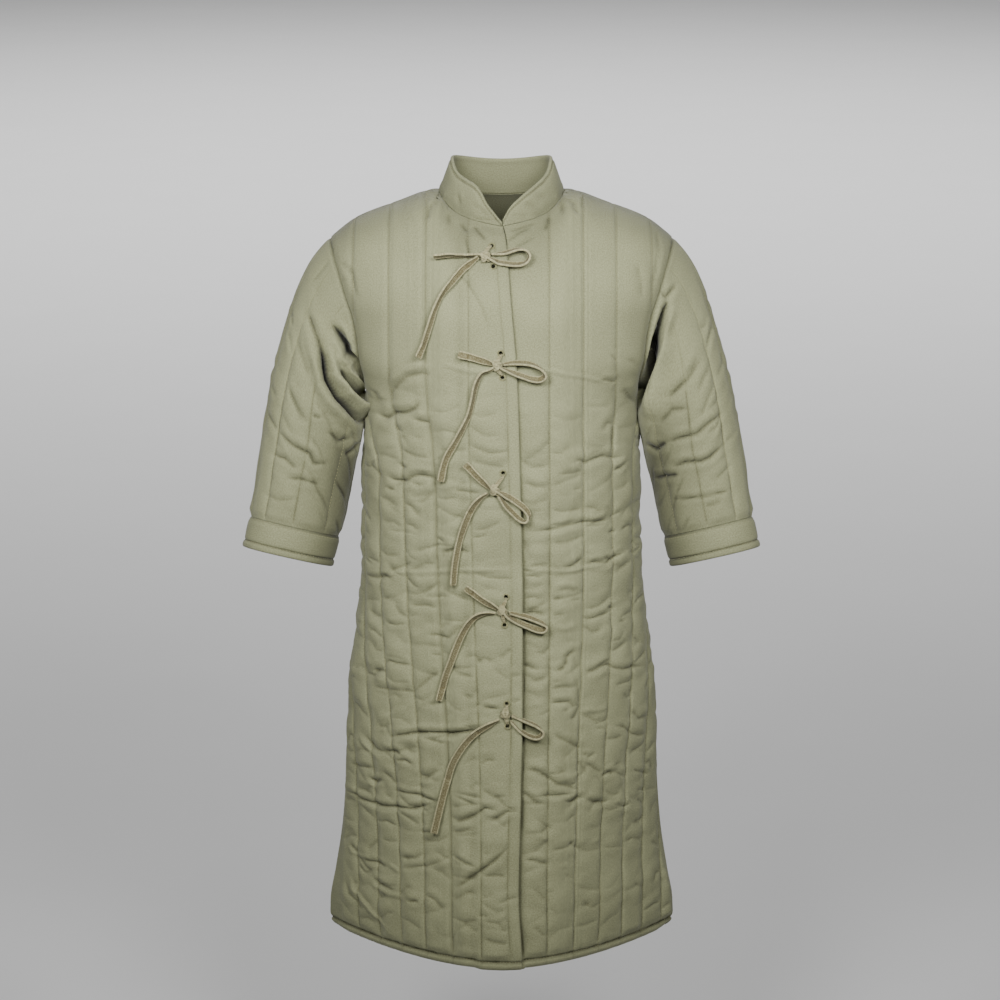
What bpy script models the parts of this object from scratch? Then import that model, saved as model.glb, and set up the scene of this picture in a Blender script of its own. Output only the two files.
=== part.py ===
"""A quilted gambeson, worn open-necked and closed down the front by five tape ties.

Metres, +Z up.  The wearer faces -Y.  The origin is midway between the two points where
the shoulder seams meet the neckline, which is where a wearer's shoulders carry it.
Every piece is a padded wall: smooth inside, and raised between the quilt lines outside.
"""
import math
from collections import namedtuple

import bmesh
import bpy
import numpy as np
from mathutils import Vector

# ---------------------------------------------------------------- driving sizes
HEM = -1.050            # height of the hem below the shoulders
UNDERARM = -0.275       # height of the underarm point
NECK_HALF = 0.086       # half the width of the neckline, at the shoulder seams
TIP_HALF = 0.2295       # half the width from shoulder tip to shoulder tip
TIP = -0.0635           # height of the shoulder tips
WALL = 0.004            # thickness of the wall at a stitch line
PUFF = 0.0050           # how far the padding rises between two stitch lines
GAP = 0.0003            # space between two pieces at a seam, to each side of it
SEAM_FLAT = 0.014       # the padding thins out over this width beside a seam
SEAM_MERGE = 0.007      # columns closer to a seam than this run into it

EDGE_STITCH = 0.015     # from the front edge to the stitching beside it
OVERLAP_CLEAR = 0.0012  # space between the lapping front and the one below it
HIDDEN_STITCH = 0.006   # the under front ends this far inside the first quilt line
EDGE_CLEAR = 0.0010     # space between the two fronts where they meet at the neck
TUCK_START = 0.020      # the under front goes under the other this far below the neck,
TUCK_OVER = 0.045       # and is all the way under it after this much more
LAP_FADE = 0.015        # the lapping front comes down to the wearer over this width
LAP_TOP_FADE = 0.016    # and over this height at the neck
LAP_REACH = 0.06        # nothing of the lap lies further past the centre than this

HEM_ROLL = 0.013        # height of the rolled edge at the hem
HEM_GROOVE = 0.0012     # depth of the stitching above the roll
HEM_FULL = 0.0030       # how far the roll stands out

COLLAR_RISE = 0.050     # collar height along its slope
COLLAR_LEAN = 0.36      # slope of the collar towards the neck
COLLAR_ROUND = 0.075    # length over which its front ends round off
COLLAR_WALL = 0.0045
COLLAR_END = 0.004      # height left at its front ends, as a length along the neck
COLLAR_EDGE = 0.001     # its top edge is rounded by this much on both faces
NECK_BEHIND = 0.012     # the wearer's neck stands this far behind the shoulder line

CUFF_HEIGHT = 0.042
CUFF_STEP = 0.0015      # the cuff stands out this far from the sleeve
CUFF_ROLL = 0.0012      # and its stitched edge this much further
CUFF_COLUMNS = 24
SLEEVE_SWEEP = 0.30     # how long the sleeve's head keeps the direction it leaves in
SLEEVE_DROP = 0.55      # how far that direction turns outward and down
COLUMNS_PER_CHANNEL = 3

EYELET_RADIUS = 0.003
EYELET_SIDES = 8
EYELET_CUT = 0.040      # length of the cut, enough to pass both fronts
EYELET_MIDDLE = -0.006  # the cut's middle, out from the cloth
TAPE_RADIUS = 0.003     # the ties' tapes, as round strands
KNOT = (0.0062, 0.0045, 0.0068)     # half sizes of a knot: across, out, up
KNOT_CLEAR = 0.0006     # space between a knot and the cloth
NORMAL_STEP = 0.0015    # distance over which the cloth's direction is measured

# Half of a level section through the body: width from the centre to the side, depth to
# the front and to the back, how flat it is across, and how sharp its side corner is
# (0.5 is round, 1 a corner).  "reach" is the width up to the side seam or the armhole.
BODY = (
    # height, half_width, front, back, flatness, corner, reach
    (-1.050, 0.2430, 0.171, 0.165, 1.80, 1.00, 0.2430),
    (-1.010, 0.2420, 0.170, 0.163, 1.83, 0.97, 0.2420),
    (-0.960, 0.2335, 0.167, 0.160, 1.92, 0.92, 0.2335),
    (-0.890, 0.2230, 0.161, 0.154, 1.95, 0.85, 0.2230),
    (-0.800, 0.2165, 0.155, 0.149, 2.00, 0.75, 0.2165),
    (-0.700, 0.2125, 0.149, 0.143, 2.05, 0.65, 0.2125),
    (-0.640, 0.2055, 0.145, 0.138, 2.10, 0.58, 0.2055),
    (-0.570, 0.1950, 0.141, 0.133, 2.15, 0.53, 0.1950),
    (-0.500, 0.1895, 0.140, 0.130, 2.20, 0.50, 0.1895),
    (-0.400, 0.1870, 0.144, 0.132, 2.25, 0.50, 0.1870),
    (-0.315, 0.1850, 0.147, 0.136, 2.30, 0.50, 0.1850),
    (-0.275, 0.1840, 0.147, 0.138, 2.30, 0.50, 0.1840),
    (-0.250, 0.1920, 0.146, 0.138, 2.30, 0.50, 0.1855),
    (-0.220, 0.2060, 0.146, 0.138, 2.30, 0.50, 0.1905),
    (-0.190, 0.2125, 0.143, 0.137, 2.30, 0.50, 0.1935),
    (-0.160, 0.2210, 0.141, 0.135, 2.30, 0.50, 0.1985),
    (-0.137, 0.2330, 0.138, 0.133, 2.30, 0.50, 0.2060),
    (-0.099, 0.2520, 0.133, 0.130, 2.30, 0.50, 0.2175),
    (-0.0635, 0.2700, 0.130, 0.127, 2.30, 0.50, 0.2295),
    (0.020, 0.2950, 0.126, 0.122, 2.30, 0.50, 0.2600),
)
SHOULDER_START = {"front": -0.160, "back": -0.135}  # above this the body rounds over

# The top edge of the body, from the centre out along the neckline to the shoulder tip.
# "fall" shapes the surface below it: 1 slopes away from the neck, 0.5 rounds over.
TOP_FRONT = (
    # across, out, height, fall
    (0.000, 0.095, -0.0340, 1.00),
    (0.035, 0.083, -0.0280, 1.00),
    (0.060, 0.058, -0.0215, 0.85),
    (0.078, 0.030, -0.0085, 0.65),
    (0.086, 0.000, 0.0000, 0.50),
    (0.140, 0.000, -0.0165, 0.50),
    (0.197, 0.000, -0.0390, 0.50),
    (0.2295, 0.000, -0.0635, 0.50),
    (0.300, 0.000, -0.1200, 0.50),
)
TOP_BACK = (
    # across, out, height, fall
    (0.000, 0.062, -0.0120, 0.90),
    (0.035, 0.056, -0.0100, 0.85),
    (0.060, 0.042, -0.0060, 0.75),
    (0.078, 0.022, -0.0020, 0.60),
    (0.086, 0.000, 0.0000, 0.50),
    (0.140, 0.000, -0.0165, 0.50),
    (0.197, 0.000, -0.0390, 0.50),
    (0.2295, 0.000, -0.0635, 0.50),
    (0.300, 0.000, -0.1200, 0.50),
)

# The lapping front's edge, how far past the centre it lies.
LAP_EDGE = (
    # height, past_centre
    (-1.050, 0.028), (-0.940, 0.023), (-0.860, 0.024), (-0.700, 0.0275),
    (-0.525, 0.028), (-0.370, 0.025), (-0.230, 0.021), (-0.125, 0.0125),
    (-0.077, 0.0085), (-0.045, 0.0046), (-0.030, 0.0008),
)

# Quilt lines.  Above the chest they stand at fixed distances from the centre; from the
# waist down they are evenly spaced round the body, closer together towards the hem.
CHEST_LINES = {
    "front_right": (0.043, 0.0996, 0.149, 0.197, 0.247, 0.297, 0.347),
    "front_left": (0.0630, 0.108, 0.152, 0.199, 0.247, 0.297, 0.347),
    "back": (0.050, 0.0996, 0.149, 0.197, 0.247, 0.297, 0.347),
}
LINE_SPACING = (
    # height, right_first, left_first, pitch
    (-1.050, 0.026, 0.064, 0.0420),
    (-0.800, 0.028, 0.064, 0.0430),
    (-0.525, 0.037, 0.065, 0.0480),
    (-0.275, 0.043, 0.064, 0.0490),
)
FIXED_ABOVE = -0.215
EVEN_BELOW = -0.370
COVERED = 0.003         # the under front is unpadded to this far past the lap's edge
BODY_LINES = 7

ROWS_ABOVE = {"front": 13, "back": 14}      # rows from underarm to shoulder
ROUNDED_ROWS = 8                            # of those, the ones that round the shoulder
ROWS_BELOW = {                              # rows from the hem stitching to the underarm
    "front": (-1.037, -0.980, -0.935, -0.900, -0.845, -0.812, -0.780, -0.742, -0.715,
              -0.685, -0.635, -0.585, -0.545, -0.515, -0.470, -0.405, -0.340),
    "back": (-1.037, -0.960, -0.890, -0.820, -0.765, -0.710, -0.640, -0.570, -0.525,
             -0.480, -0.400, -0.330),
}

# The largest folds: soft troughs between two places on the cloth.
Fold = namedtuple("Fold", "face from_across from_height to_across to_height deep wide")
FOLDS = (
    Fold("front", -0.158, -0.742, 0.000, -0.712, 0.0045, 0.017),
    Fold("front", -0.205, -0.800, -0.090, -0.822, 0.0035, 0.018),
    Fold("front", -0.070, -0.945, 0.012, -0.885, 0.0035, 0.020),
    Fold("front", -0.185, -0.538, -0.110, -0.518, 0.0035, 0.018),
    Fold("front", 0.085, -0.528, 0.175, -0.505, 0.0035, 0.018),
    Fold("front", 0.110, -0.632, 0.195, -0.628, 0.0035, 0.020),
    Fold("front", -0.165, -0.285, -0.100, -0.262, 0.0040, 0.018),
    Fold("back", -0.120, -0.540, 0.130, -0.520, 0.0040, 0.022),
    Fold("back", -0.160, -0.735, -0.020, -0.765, 0.0040, 0.022),
    Fold("back", 0.030, -0.690, 0.170, -0.720, 0.0040, 0.022),
    Fold("sleeve_right", -0.240, -0.225, -0.192, -0.310, 0.0060, 0.018),
    Fold("sleeve_right", -0.300, -0.335, -0.240, -0.375, 0.0045, 0.018),
    Fold("sleeve_left", 0.222, -0.285, 0.262, -0.240, 0.0060, 0.018),
    Fold("sleeve_left", 0.238, -0.425, 0.290, -0.412, 0.0045, 0.018),
)

# The sleeve below its head: centre, half widths away from and towards the body, depth.
SLEEVE = (
    # outward, forward, height, outer, inner, half_depth
    (0.2515, 0.021, -0.290, 0.0640, 0.0620, 0.059),
    (0.2570, 0.027, -0.335, 0.0655, 0.0635, 0.055),
    (0.2665, 0.034, -0.380, 0.0635, 0.0625, 0.051),
    (0.2750, 0.045, -0.425, 0.0610, 0.0610, 0.047),
    (0.2905, 0.060, -0.492, 0.0602, 0.0602, 0.0425),
)
SLEEVE_HEAD = (0.0, 0.07, 0.18, 0.36, 0.58, 0.80, 1.0)   # rows from armhole to arm
SLEEVE_ROWS = 4
SLEEVE_TWIST = {"right": 0.0, "left": math.radians(12.0)}

# Ties.  Each knot's place is across and height; every route is in mm from the knot:
# across, up, and out from the cloth.
Tie = namedtuple("Tie", "across height loop short long")
TIES = (
    Tie(-0.0200, -0.070,
        ((8, 4, 4), (29, 9, 5), (46, 11, 7), (59, 4, 10), (57, -6, 8), (46, -9, 6),
         (29, -8, 5), (9, -5, 4)),
        ((-8, 2, 4), (-18, 0, 9), (-39, -3, 14), (-62, -5, 17)),
        ((-8, -5, 4), (-29, -22, 7), (-43, -36, 8), (-55, -49, 7), (-64, -66, 6),
         (-76, -104, 6), (-84, -132, 9))),
    Tie(-0.0060, -0.209,
        ((8, 3, 4), (25, 6, 5), (43, 5, 7), (58, -1, 10), (64, -12, 9), (60, -20, 6),
         (50, -20, 5), (31, -13, 5), (9, -6, 4)),
        ((-8, 3, 4), (-28, 9, 6), (-49, 14, 8)),
        ((-9, -6, 4), (-20, -10, 6), (-27, -26, 7), (-33, -58, 6), (-40, -77, 6),
         (-52, -102, 6), (-65, -128, 7), (-71, -157, 9))),
    Tie(-0.0090, -0.375,
        ((6, -7, 4), (16, -25, 5), (31, -45, 7), (41, -52, 9), (49, -41, 7),
         (41, -26, 6), (26, -14, 5), (9, -3, 4)),
        ((-8, 5, 4), (-22, 19, 6), (-37, 35, 8)),
        ((-9, -4, 4), (-19, -12, 6), (-29, -27, 7), (-37, -46, 6), (-45, -72, 6),
         (-51, -107, 6), (-53, -135, 8))),
    Tie(0.0010, -0.543,
        ((9, -4, 4), (31, -10, 5), (48, -16, 7), (62, -26, 10), (58, -36, 8),
         (46, -34, 6), (24, -23, 5), (7, -11, 4)),
        ((-8, 4, 4), (-25, 15, 7), (-47, 31, 9)),
        ((-9, -3, 4), (-21, -3, 6), (-33, -8, 7), (-44, -20, 7), (-55, -42, 6),
         (-66, -73, 6), (-76, -102, 7), (-82, -129, 9))),
    Tie(0.0050, -0.686,
        ((9, -2, 4), (24, -6, 6), (40, -13, 9), (50, -23, 12), (46, -33, 10),
         (34, -34, 7), (22, -28, 5), (7, -11, 4)),
        (),
        ((-8, -7, 4), (-26, -18, 6), (-43, -32, 7), (-57, -51, 7), (-70, -77, 6),
         (-79, -110, 6), (-85, -140, 7), (-91, -173, 9))),
)
EYELETS_BESIDE_KNOT = (
    # across_up, up, across_down, down: from each knot to its two eyelets, in mm
    (7, 13, 9, -12), (5, 16, 7, -16), (11, 21, 12, -14), (5, 18, 3, -21), (2, 13, 3, -18),
)

CLOTH = (0.405, 0.400, 0.275)
TAPE = (0.440, 0.420, 0.290)


# ---------------------------------------------------------------- curves and tables
class Curve:
    """A smooth curve through a table's rows that never overshoots them."""

    def __init__(self, rows):
        self.at = np.array([row[0] for row in rows], float)
        self.value = np.array([row[1:] for row in rows], float)
        step = np.diff(self.at)[:, None]
        slope = np.diff(self.value, axis=0) / step
        before, after = slope[:-1], slope[1:]
        same_way = before * after > 0
        total = np.where(same_way, before + after, 1.0)
        inner = np.where(same_way, 2.0 * before * after / total, 0.0)
        self.slope = np.vstack([slope[:1], inner, slope[-1:]])

    def __call__(self, at):
        at = np.clip(np.asarray(at, float), self.at[0], self.at[-1])
        cell = np.clip(np.searchsorted(self.at, at) - 1, 0, len(self.at) - 2)
        width = self.at[cell + 1] - self.at[cell]
        t = ((at - self.at[cell]) / width)[..., None]
        width = width[..., None]
        low, high = self.value[cell], self.value[cell + 1]
        leave, arrive = self.slope[cell] * width, self.slope[cell + 1] * width
        return (low * (1 + 2 * t) * (1 - t) ** 2 + high * t * t * (3 - 2 * t)
                + leave * t * (1 - t) ** 2 - arrive * t * t * (1 - t))


def smooth_step(value):
    value = min(1.0, max(0.0, value))
    return value * value * (3.0 - 2.0 * value)


body_at = Curve(BODY)
top_at = {"front": Curve(TOP_FRONT), "back": Curve(TOP_BACK)}
lap_edge_at = Curve(LAP_EDGE)
spacing_at = Curve(LINE_SPACING)


# ---------------------------------------------------------------- the body's surface
def depth(face, across, height):
    """How far the cloth stands in front of, or behind, the shoulder line."""
    half_width, front, back, flatness, corner, _ = body_at(height)
    full = front if face == "front" else back
    across = np.minimum(np.abs(across), half_width)
    level = full * (1.0 - (across / half_width) ** flatness) ** corner
    out, top, fall = np.moveaxis(top_at[face](across), -1, 0)
    start = SHOULDER_START[face]
    rise = np.clip((height - start) / (top - start), 0.0, 1.0)
    return out + (level - out) * (1.0 - rise ** 2) ** fall


SAMPLES = np.sin(np.linspace(0.0, math.pi / 2, 260))
section_store = {}


def section(face, height):
    """The level section at a height: girth from the centre, across and depth."""
    key = (face, round(float(height), 6))
    if key not in section_store:
        across = SAMPLES * float(body_at(height)[0])
        out = depth(face, across, height)
        girth = np.concatenate([[0.0], np.cumsum(np.hypot(np.diff(across), np.diff(out)))])
        section_store[key] = (girth, across, out)
    return section_store[key]


def girth_of(face, across, height):
    girth, xs, _ = section(face, height)
    sign = 1.0 if across >= 0 else -1.0
    across = abs(across)
    return sign * (float(np.interp(across, xs, girth)) + max(0.0, across - xs[-1]))


def place(face, girth, height):
    """The point of the cloth's surface at a girth from the centre and a height."""
    girths, xs, outs = section(face, height)
    sign = 1.0 if girth >= 0 else -1.0
    girth = abs(girth)
    across = float(np.interp(girth, girths, xs))
    if height <= UNDERARM:
        out = float(np.interp(girth, girths, outs))
    else:
        out = float(depth(face, across, height))
    return Vector((sign * across, -out if face == "front" else out, height))


def reach_girth(face, height):
    """Girth from the centre to the side seam or the armhole."""
    return girth_of(face, float(body_at(height)[5]), height)


def facing(face, girth, height, along_edge=False):
    """The direction in which the cloth faces; along_edge keeps it square to Y."""
    step = NORMAL_STEP
    reach = section(face, height)[0][-1]
    near = min(girth + step, reach) if girth >= 0 else girth + step
    far = girth - step if girth >= 0 else max(girth - step, -reach)
    sideways = place(face, near, height) - place(face, far, height)
    here = place(face, girth, height)
    if height <= UNDERARM:
        share = girth / reach
        low = place(face, share * section(face, height - step)[0][-1], height - step)
        high_reach = section(face, min(height + step, UNDERARM))[0][-1]
        high = place(face, share * high_reach, min(height + step, UNDERARM))
        upwards = high - low
    else:
        low_girth = girth_of(face, here.x, height - step)
        upwards = here - place(face, low_girth, height - step)
    normal = upwards.cross(sideways) if face == "front" else sideways.cross(upwards)
    normal.normalize()
    wanted = Vector((here.x, here.y * 1.6, 0.0))
    if normal.dot(wanted) < 0:
        normal = -normal
    if along_edge:
        flat = Vector((normal.x, 0.0, normal.z))
        return flat / max(flat.length, 0.45) / max(flat.normalized().dot(normal), 0.55)
    return normal


# ---------------------------------------------------------------- the panels' grids
Column = namedtuple("Column", "line share")     # a share of the way to the next line


def channel_shape(share):
    """The padding's rise across a channel: full in its middle, none at its lines."""
    return math.sin(math.pi * share) ** 0.6 if 0.0 < share < 1.0 else 0.0


def panel_columns(name):
    """Columns of a panel from one edge to the other, and which of them are inner."""
    thirds = (0.0, 1 / 3, 2 / 3)
    columns = []
    first, second = CHEST_LINES[name][:2]
    to_neck = (NECK_HALF - first) / (second - first)
    if name == "front_left":
        near_neck = [0.0, 0.55 * to_neck, to_neck, (1.0 + to_neck) / 2]
    else:
        near_neck = [0.0, 0.42 * to_neck, 0.76 * to_neck, to_neck]
    if name == "back":
        for line in range(-BODY_LINES, BODY_LINES):
            shares = thirds
            if line == 1:
                shares = near_neck
            if line == -2:
                shares = [0.0] + [1.0 - share for share in reversed(near_neck[1:])]
            columns += [Column(line, share) for share in shares]
        columns.append(Column(BODY_LINES, 0.0))
        return columns
    if name == "front_right":
        columns = [Column(-1, 0.0)]
    else:
        columns = [Column(-1, share) for share in thirds]
    columns += [Column(0, share) for share in thirds]
    columns += [Column(1, share) for share in near_neck]
    for line in range(2, BODY_LINES):
        columns += [Column(line, share) for share in thirds]
    columns.append(Column(BODY_LINES, 0.0))
    return columns


def edge_across(name, line, height):
    """Distance from the centre of a front's edge, or of the line beside it."""
    edge = float(lap_edge_at(height)[0])
    if name == "front_right":
        return -edge if line < 0 else EDGE_STITCH - edge
    if line == 0:
        return edge + COVERED
    below_neck = TOP_FRONT[0][2] - TUCK_START - height
    tucked = smooth_step(below_neck / TUCK_OVER)
    beside = edge + EDGE_CLEAR
    hidden = column_girth("front_right", Column(1, 0.0), height) - HIDDEN_STITCH
    return beside * (1 - tucked) - hidden * tucked


def chest_across(name, line, height):
    """Distance from the centre of a quilt line on the chest, towards the panel's side."""
    if line < 0 and name == "back":
        return -chest_across(name, -line, height)
    if line <= 0:
        return 0.0 if name == "back" else edge_across(name, line, height)
    return CHEST_LINES[name][line - 1]


def even_girth(name, line, height):
    """Girth from the centre to a quilt line where the lines are evenly spaced."""
    right_first, left_first, pitch = spacing_at(height)
    if name == "back":
        return line * pitch
    if line <= 0:
        return girth_of("front", edge_across(name, line, height), height)
    return (right_first if name == "front_right" else left_first) + (line - 1) * pitch


def column_girth(name, column, height):
    """Girth from the centre to a column at a height, towards the panel's side."""
    face = "back" if name == "back" else "front"
    line, share = column

    def between(rule):
        here = rule(name, line, height)
        return here + (rule(name, line + 1, height) - here) * share if share else here

    fixed = girth_of(face, between(chest_across), height)
    change = smooth_step((height - EVEN_BELOW) / (FIXED_ABOVE - EVEN_BELOW))
    if change == 1.0:
        return fixed
    even = between(even_girth)
    return even + (fixed - even) * change


def line_girth(name, line, height):
    return column_girth(name, Column(line, 0.0), height)


def column_top(name, column):
    """Height of a column's upper end, on the neckline or the shoulder."""
    face = "back" if name == "back" else "front"
    guess = 0.0
    for _ in range(3):
        across = place(face, column_girth(name, column, guess), guess).x
        across = min(abs(across), TIP_HALF)
        guess = float(top_at[face](across)[1])
    return guess


def row_heights(face, top):
    """Heights of the rows, from the hem up to a column's upper end."""
    lower = [HEM, HEM + 0.45 * HEM_ROLL]
    lower += ROWS_BELOW[face]
    start = SHOULDER_START[face]
    upright = ROWS_ABOVE[face] - ROUNDED_ROWS
    upper = [UNDERARM + (start - UNDERARM) * row / upright for row in range(upright)]
    upper += [start + (top - start) * math.sin(math.pi / 2 * row / ROUNDED_ROWS)
              for row in range(ROUNDED_ROWS + 1)]
    return lower + upper


def hem_rise(height):
    """How far the hem's roll stands out, or its stitching sinks in."""
    above_hem = height - HEM
    if above_hem < 0.25 * HEM_ROLL:
        return 0.25 * HEM_FULL
    if above_hem < 0.9 * HEM_ROLL:
        return HEM_FULL
    return -HEM_GROOVE * (1.0 - smooth_step((above_hem - HEM_ROLL) / 0.01))


def lap_lift(girth, height):
    """How far the lapping front stands clear of the one below it."""
    if girth <= -LAP_REACH:
        return 0.0
    top = TOP_FRONT[0][2]
    line = line_girth("front_right", 1, height)
    across = 1.0 - smooth_step((girth - line) / LAP_FADE)
    return (WALL + OVERLAP_CLEAR) * across * smooth_step((top - height) / LAP_TOP_FADE)


def fold_depth(face, point):
    """How deep the folds draw the cloth in at a point."""
    deep = 0.0
    for fold in FOLDS:
        if fold.face != face:
            continue
        start = Vector((fold.from_across, fold.from_height))
        along = Vector((fold.to_across, fold.to_height)) - start
        here = Vector((point.x, point.z)) - start
        share = min(1.0, max(0.0, here.dot(along) / along.length_squared))
        away = (here - along * share).length
        deep += fold.deep * math.exp(-(away / fold.wide) ** 2)
    return deep


def padding(name, column, girth, height, to_top):
    """How far the cloth stands out at a column because of its padding."""
    face = "back" if name == "back" else "front"
    rise = PUFF * channel_shape(column.share)
    if name != "back" and column.line < (0 if name == "front_right" else 1):
        rise = 0.0
    beside = reach_girth(face, height) - abs(girth)
    for distance in (beside, to_top, height - HEM - HEM_ROLL):
        rise *= smooth_step(distance / SEAM_FLAT)
    return rise


Panel = namedtuple("Panel", "name columns outer inner normal same")


def make_panel(name):
    """Points of a panel: outer and inner grids, row by row from the hem up."""
    face = "back" if name == "back" else "front"
    side = -1.0 if name == "front_right" else 1.0
    columns = panel_columns(name)
    tops = [min(column_top(name, column), 0.0) for column in columns]
    last = len(columns) - 1
    tops[last] = TIP
    if name == "back":
        tops[0] = TIP
    heights = [row_heights(face, top) for top in tops]
    rows = len(heights[0])
    outer, inner, normals, same = [], [], [], []
    for row in range(rows):
        out_row, in_row, normal_row, same_row = [], [], [], []
        for number, column in enumerate(columns):
            height = heights[number][row]
            reach = reach_girth(face, height)
            at_side = number == last or (name == "back" and number == 0)
            girth = column_girth(name, column, height)
            if at_side:
                girth = math.copysign(reach, girth)
            clamped = abs(girth) > reach - SEAM_MERGE
            same_row.append((last if girth > 0 else 0) if clamped else number)
            seam = (at_side and height <= UNDERARM + 1e-9)
            on_top = row == rows - 1
            across = abs(place(face, girth, height).x)
            shoulder = on_top and across > NECK_HALF - 0.001
            point = place(face, girth, height)
            normal = facing(face, girth, height, along_edge=seam or shoulder)
            top_point = place(face, column_girth(name, column, tops[number]), tops[number])
            rise = padding(name, column, girth, height, (top_point - point).length)
            covered = name == "front_left" and column.line <= 0
            if not covered and not (seam and height > HEM + HEM_ROLL):
                rise += hem_rise(height)
            base = lap_lift(girth, height) if name == "front_right" else 0.0
            if not (seam or shoulder):
                spot = Vector((point.x * side, point.y, point.z))
                base -= fold_depth(face, spot)
            else:
                point.y = -GAP if face == "front" else GAP
            inside = point + normal * (base - WALL)
            point = point + normal * (base + rise)
            for item in (point, normal, inside):
                item.x *= side
            out_row.append(point)
            in_row.append(inside)
            normal_row.append(normal)
        outer.append(out_row)
        inner.append(in_row)
        normals.append(normal_row)
        same.append(same_row)
    return Panel(name, columns, outer, inner, normals, same)


# ---------------------------------------------------------------- building meshes
def clean_loop(loop):
    """A face's corners without repeats in a row."""
    kept = [corner for spot, corner in enumerate(loop) if corner != loop[spot - 1]]
    return kept if len(set(kept)) > 2 else None


def wall_mesh(outer, inner, inner_columns, same=None, closed=False):
    """One closed wall: an outer grid, a plainer inner one, and the edges between them."""
    mesh = bmesh.new()
    made = {}
    rows, count = len(outer), len(outer[0])

    def corner(layer, row, column):
        column %= count
        spot = same[row][column] if same else column
        key = (layer, row, spot)
        if key not in made:
            points = outer if layer == "out" else inner
            made[key] = mesh.verts.new(points[row][spot])
        return made[key]

    def face(loop):
        loop = clean_loop(loop)
        if loop and mesh.faces.get(loop) is None:
            mesh.faces.new(loop)

    spans = list(zip(inner_columns, inner_columns[1:]))
    if closed:
        spans.append((inner_columns[-1], inner_columns[0] + count))
    for row in range(rows - 1):
        for column in range(count if closed else count - 1):
            face([corner("out", row, column), corner("out", row, column + 1),
                  corner("out", row + 1, column + 1), corner("out", row + 1, column)])
        for left, right in spans:
            face([corner("in", row, right), corner("in", row, left),
                  corner("in", row + 1, left), corner("in", row + 1, right)])
    for row in (0, rows - 1):
        for left, right in spans:
            edge = [corner("out", row, column) for column in range(left, right + 1)]
            edge += [corner("in", row, right), corner("in", row, left)]
            face(edge if row else edge[::-1])
    if not closed:
        for row in range(rows - 1):
            for column in (0, count - 1):
                edge = [corner("out", row, column), corner("out", row + 1, column),
                        corner("in", row + 1, column), corner("in", row, column)]
                face(edge if column == 0 else edge[::-1])
    bmesh.ops.recalc_face_normals(mesh, faces=mesh.faces[:])
    return mesh


def material(name, colour, roughness=0.9):
    made = bpy.data.materials.new(name)
    made.use_nodes = True
    shader = made.node_tree.nodes["Principled BSDF"]
    shader.inputs["Base Color"].default_value = (*colour, 1.0)
    shader.inputs["Roughness"].default_value = roughness
    shader.inputs["Metallic"].default_value = 0.0
    return made


def add_object(name, mesh, colour, parent):
    data = bpy.data.meshes.new(name)
    mesh.to_mesh(data)
    mesh.free()
    data.shade_smooth()
    data.set_sharp_from_angle(angle=math.radians(50.0))
    data.materials.append(material(name, colour))
    thing = bpy.data.objects.new(name, data)
    bpy.context.scene.collection.objects.link(thing)
    thing.parent = parent
    return thing


def add_panel(panel, parent):
    lines = {spot for spot, column in enumerate(panel.columns) if column.share == 0.0}
    if panel.name != "back":
        lines |= {spot for spot, column in enumerate(panel.columns) if column.line < 2}
    lines |= {0, len(panel.columns) - 1}
    neck = {spot for spot, point in enumerate(panel.outer[-1])
            if abs(point.x) < NECK_HALF + 0.001}
    lines |= neck
    mesh = wall_mesh(panel.outer, panel.inner, sorted(lines), same=panel.same)
    return add_object(panel.name, mesh, CLOTH, parent)


# ---------------------------------------------------------------- points on the fronts
def on_lap(across, height, out):
    """A point a given distance out from the lapping front; across runs towards +X."""
    girth = girth_of("front", -across, height)
    point = place("front", girth, height)
    normal = facing("front", girth, height)
    rise = 0.0
    edge = line_girth("front_right", -1, height)
    if girth >= edge - 0.004:
        rise = lap_lift(girth, height)
        lines = [line_girth("front_right", line, height) for line in range(0, 5)]
        spot = int(np.searchsorted(lines, girth)) - 1
        if 0 <= spot < len(lines) - 1:
            share = (girth - lines[spot]) / (lines[spot + 1] - lines[spot])
            rise += PUFF * channel_shape(share)
    else:
        rise = PUFF
    normal.x *= -1.0
    point.x *= -1.0
    return point + normal * (rise + out - fold_depth("front", point)), normal


# ---------------------------------------------------------------- collar and sleeves
Edge = namedtuple("Edge", "point normal along")


def edge_points(points, normals, closed=False):
    """Edge points with the direction along the edge at each of them."""
    count = len(points)
    found = []
    for spot in range(count):
        before = points[spot - 1] if spot or closed else points[spot]
        after = points[(spot + 1) % count] if spot < count - 1 or closed else points[spot]
        found.append(Edge(points[spot], normals[spot].normalized(),
                          (after - before).normalized()))
    return found


def neckline(right, back, left):
    """The neck's edge from the right front round the back to the left front."""
    points, normals = [], []
    for panel, turn in ((right, False), (back, True), (left, True)):
        spots = [s for s, p in enumerate(panel.outer[-1]) if abs(p.x) < NECK_HALF + 0.001]
        if panel.name == "back":
            spots.sort(key=lambda s: panel.outer[-1][s].x)
            spots = spots[1:-1]
        elif turn:
            spots = spots[::-1]
        for spot in spots:
            point = panel.outer[-1][spot].copy()
            if abs(abs(point.x) - NECK_HALF) < 0.001:
                point.y = 0.0
            points.append(point)
            normals.append(panel.normal[-1][spot])
    return edge_points(points, normals)


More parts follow.
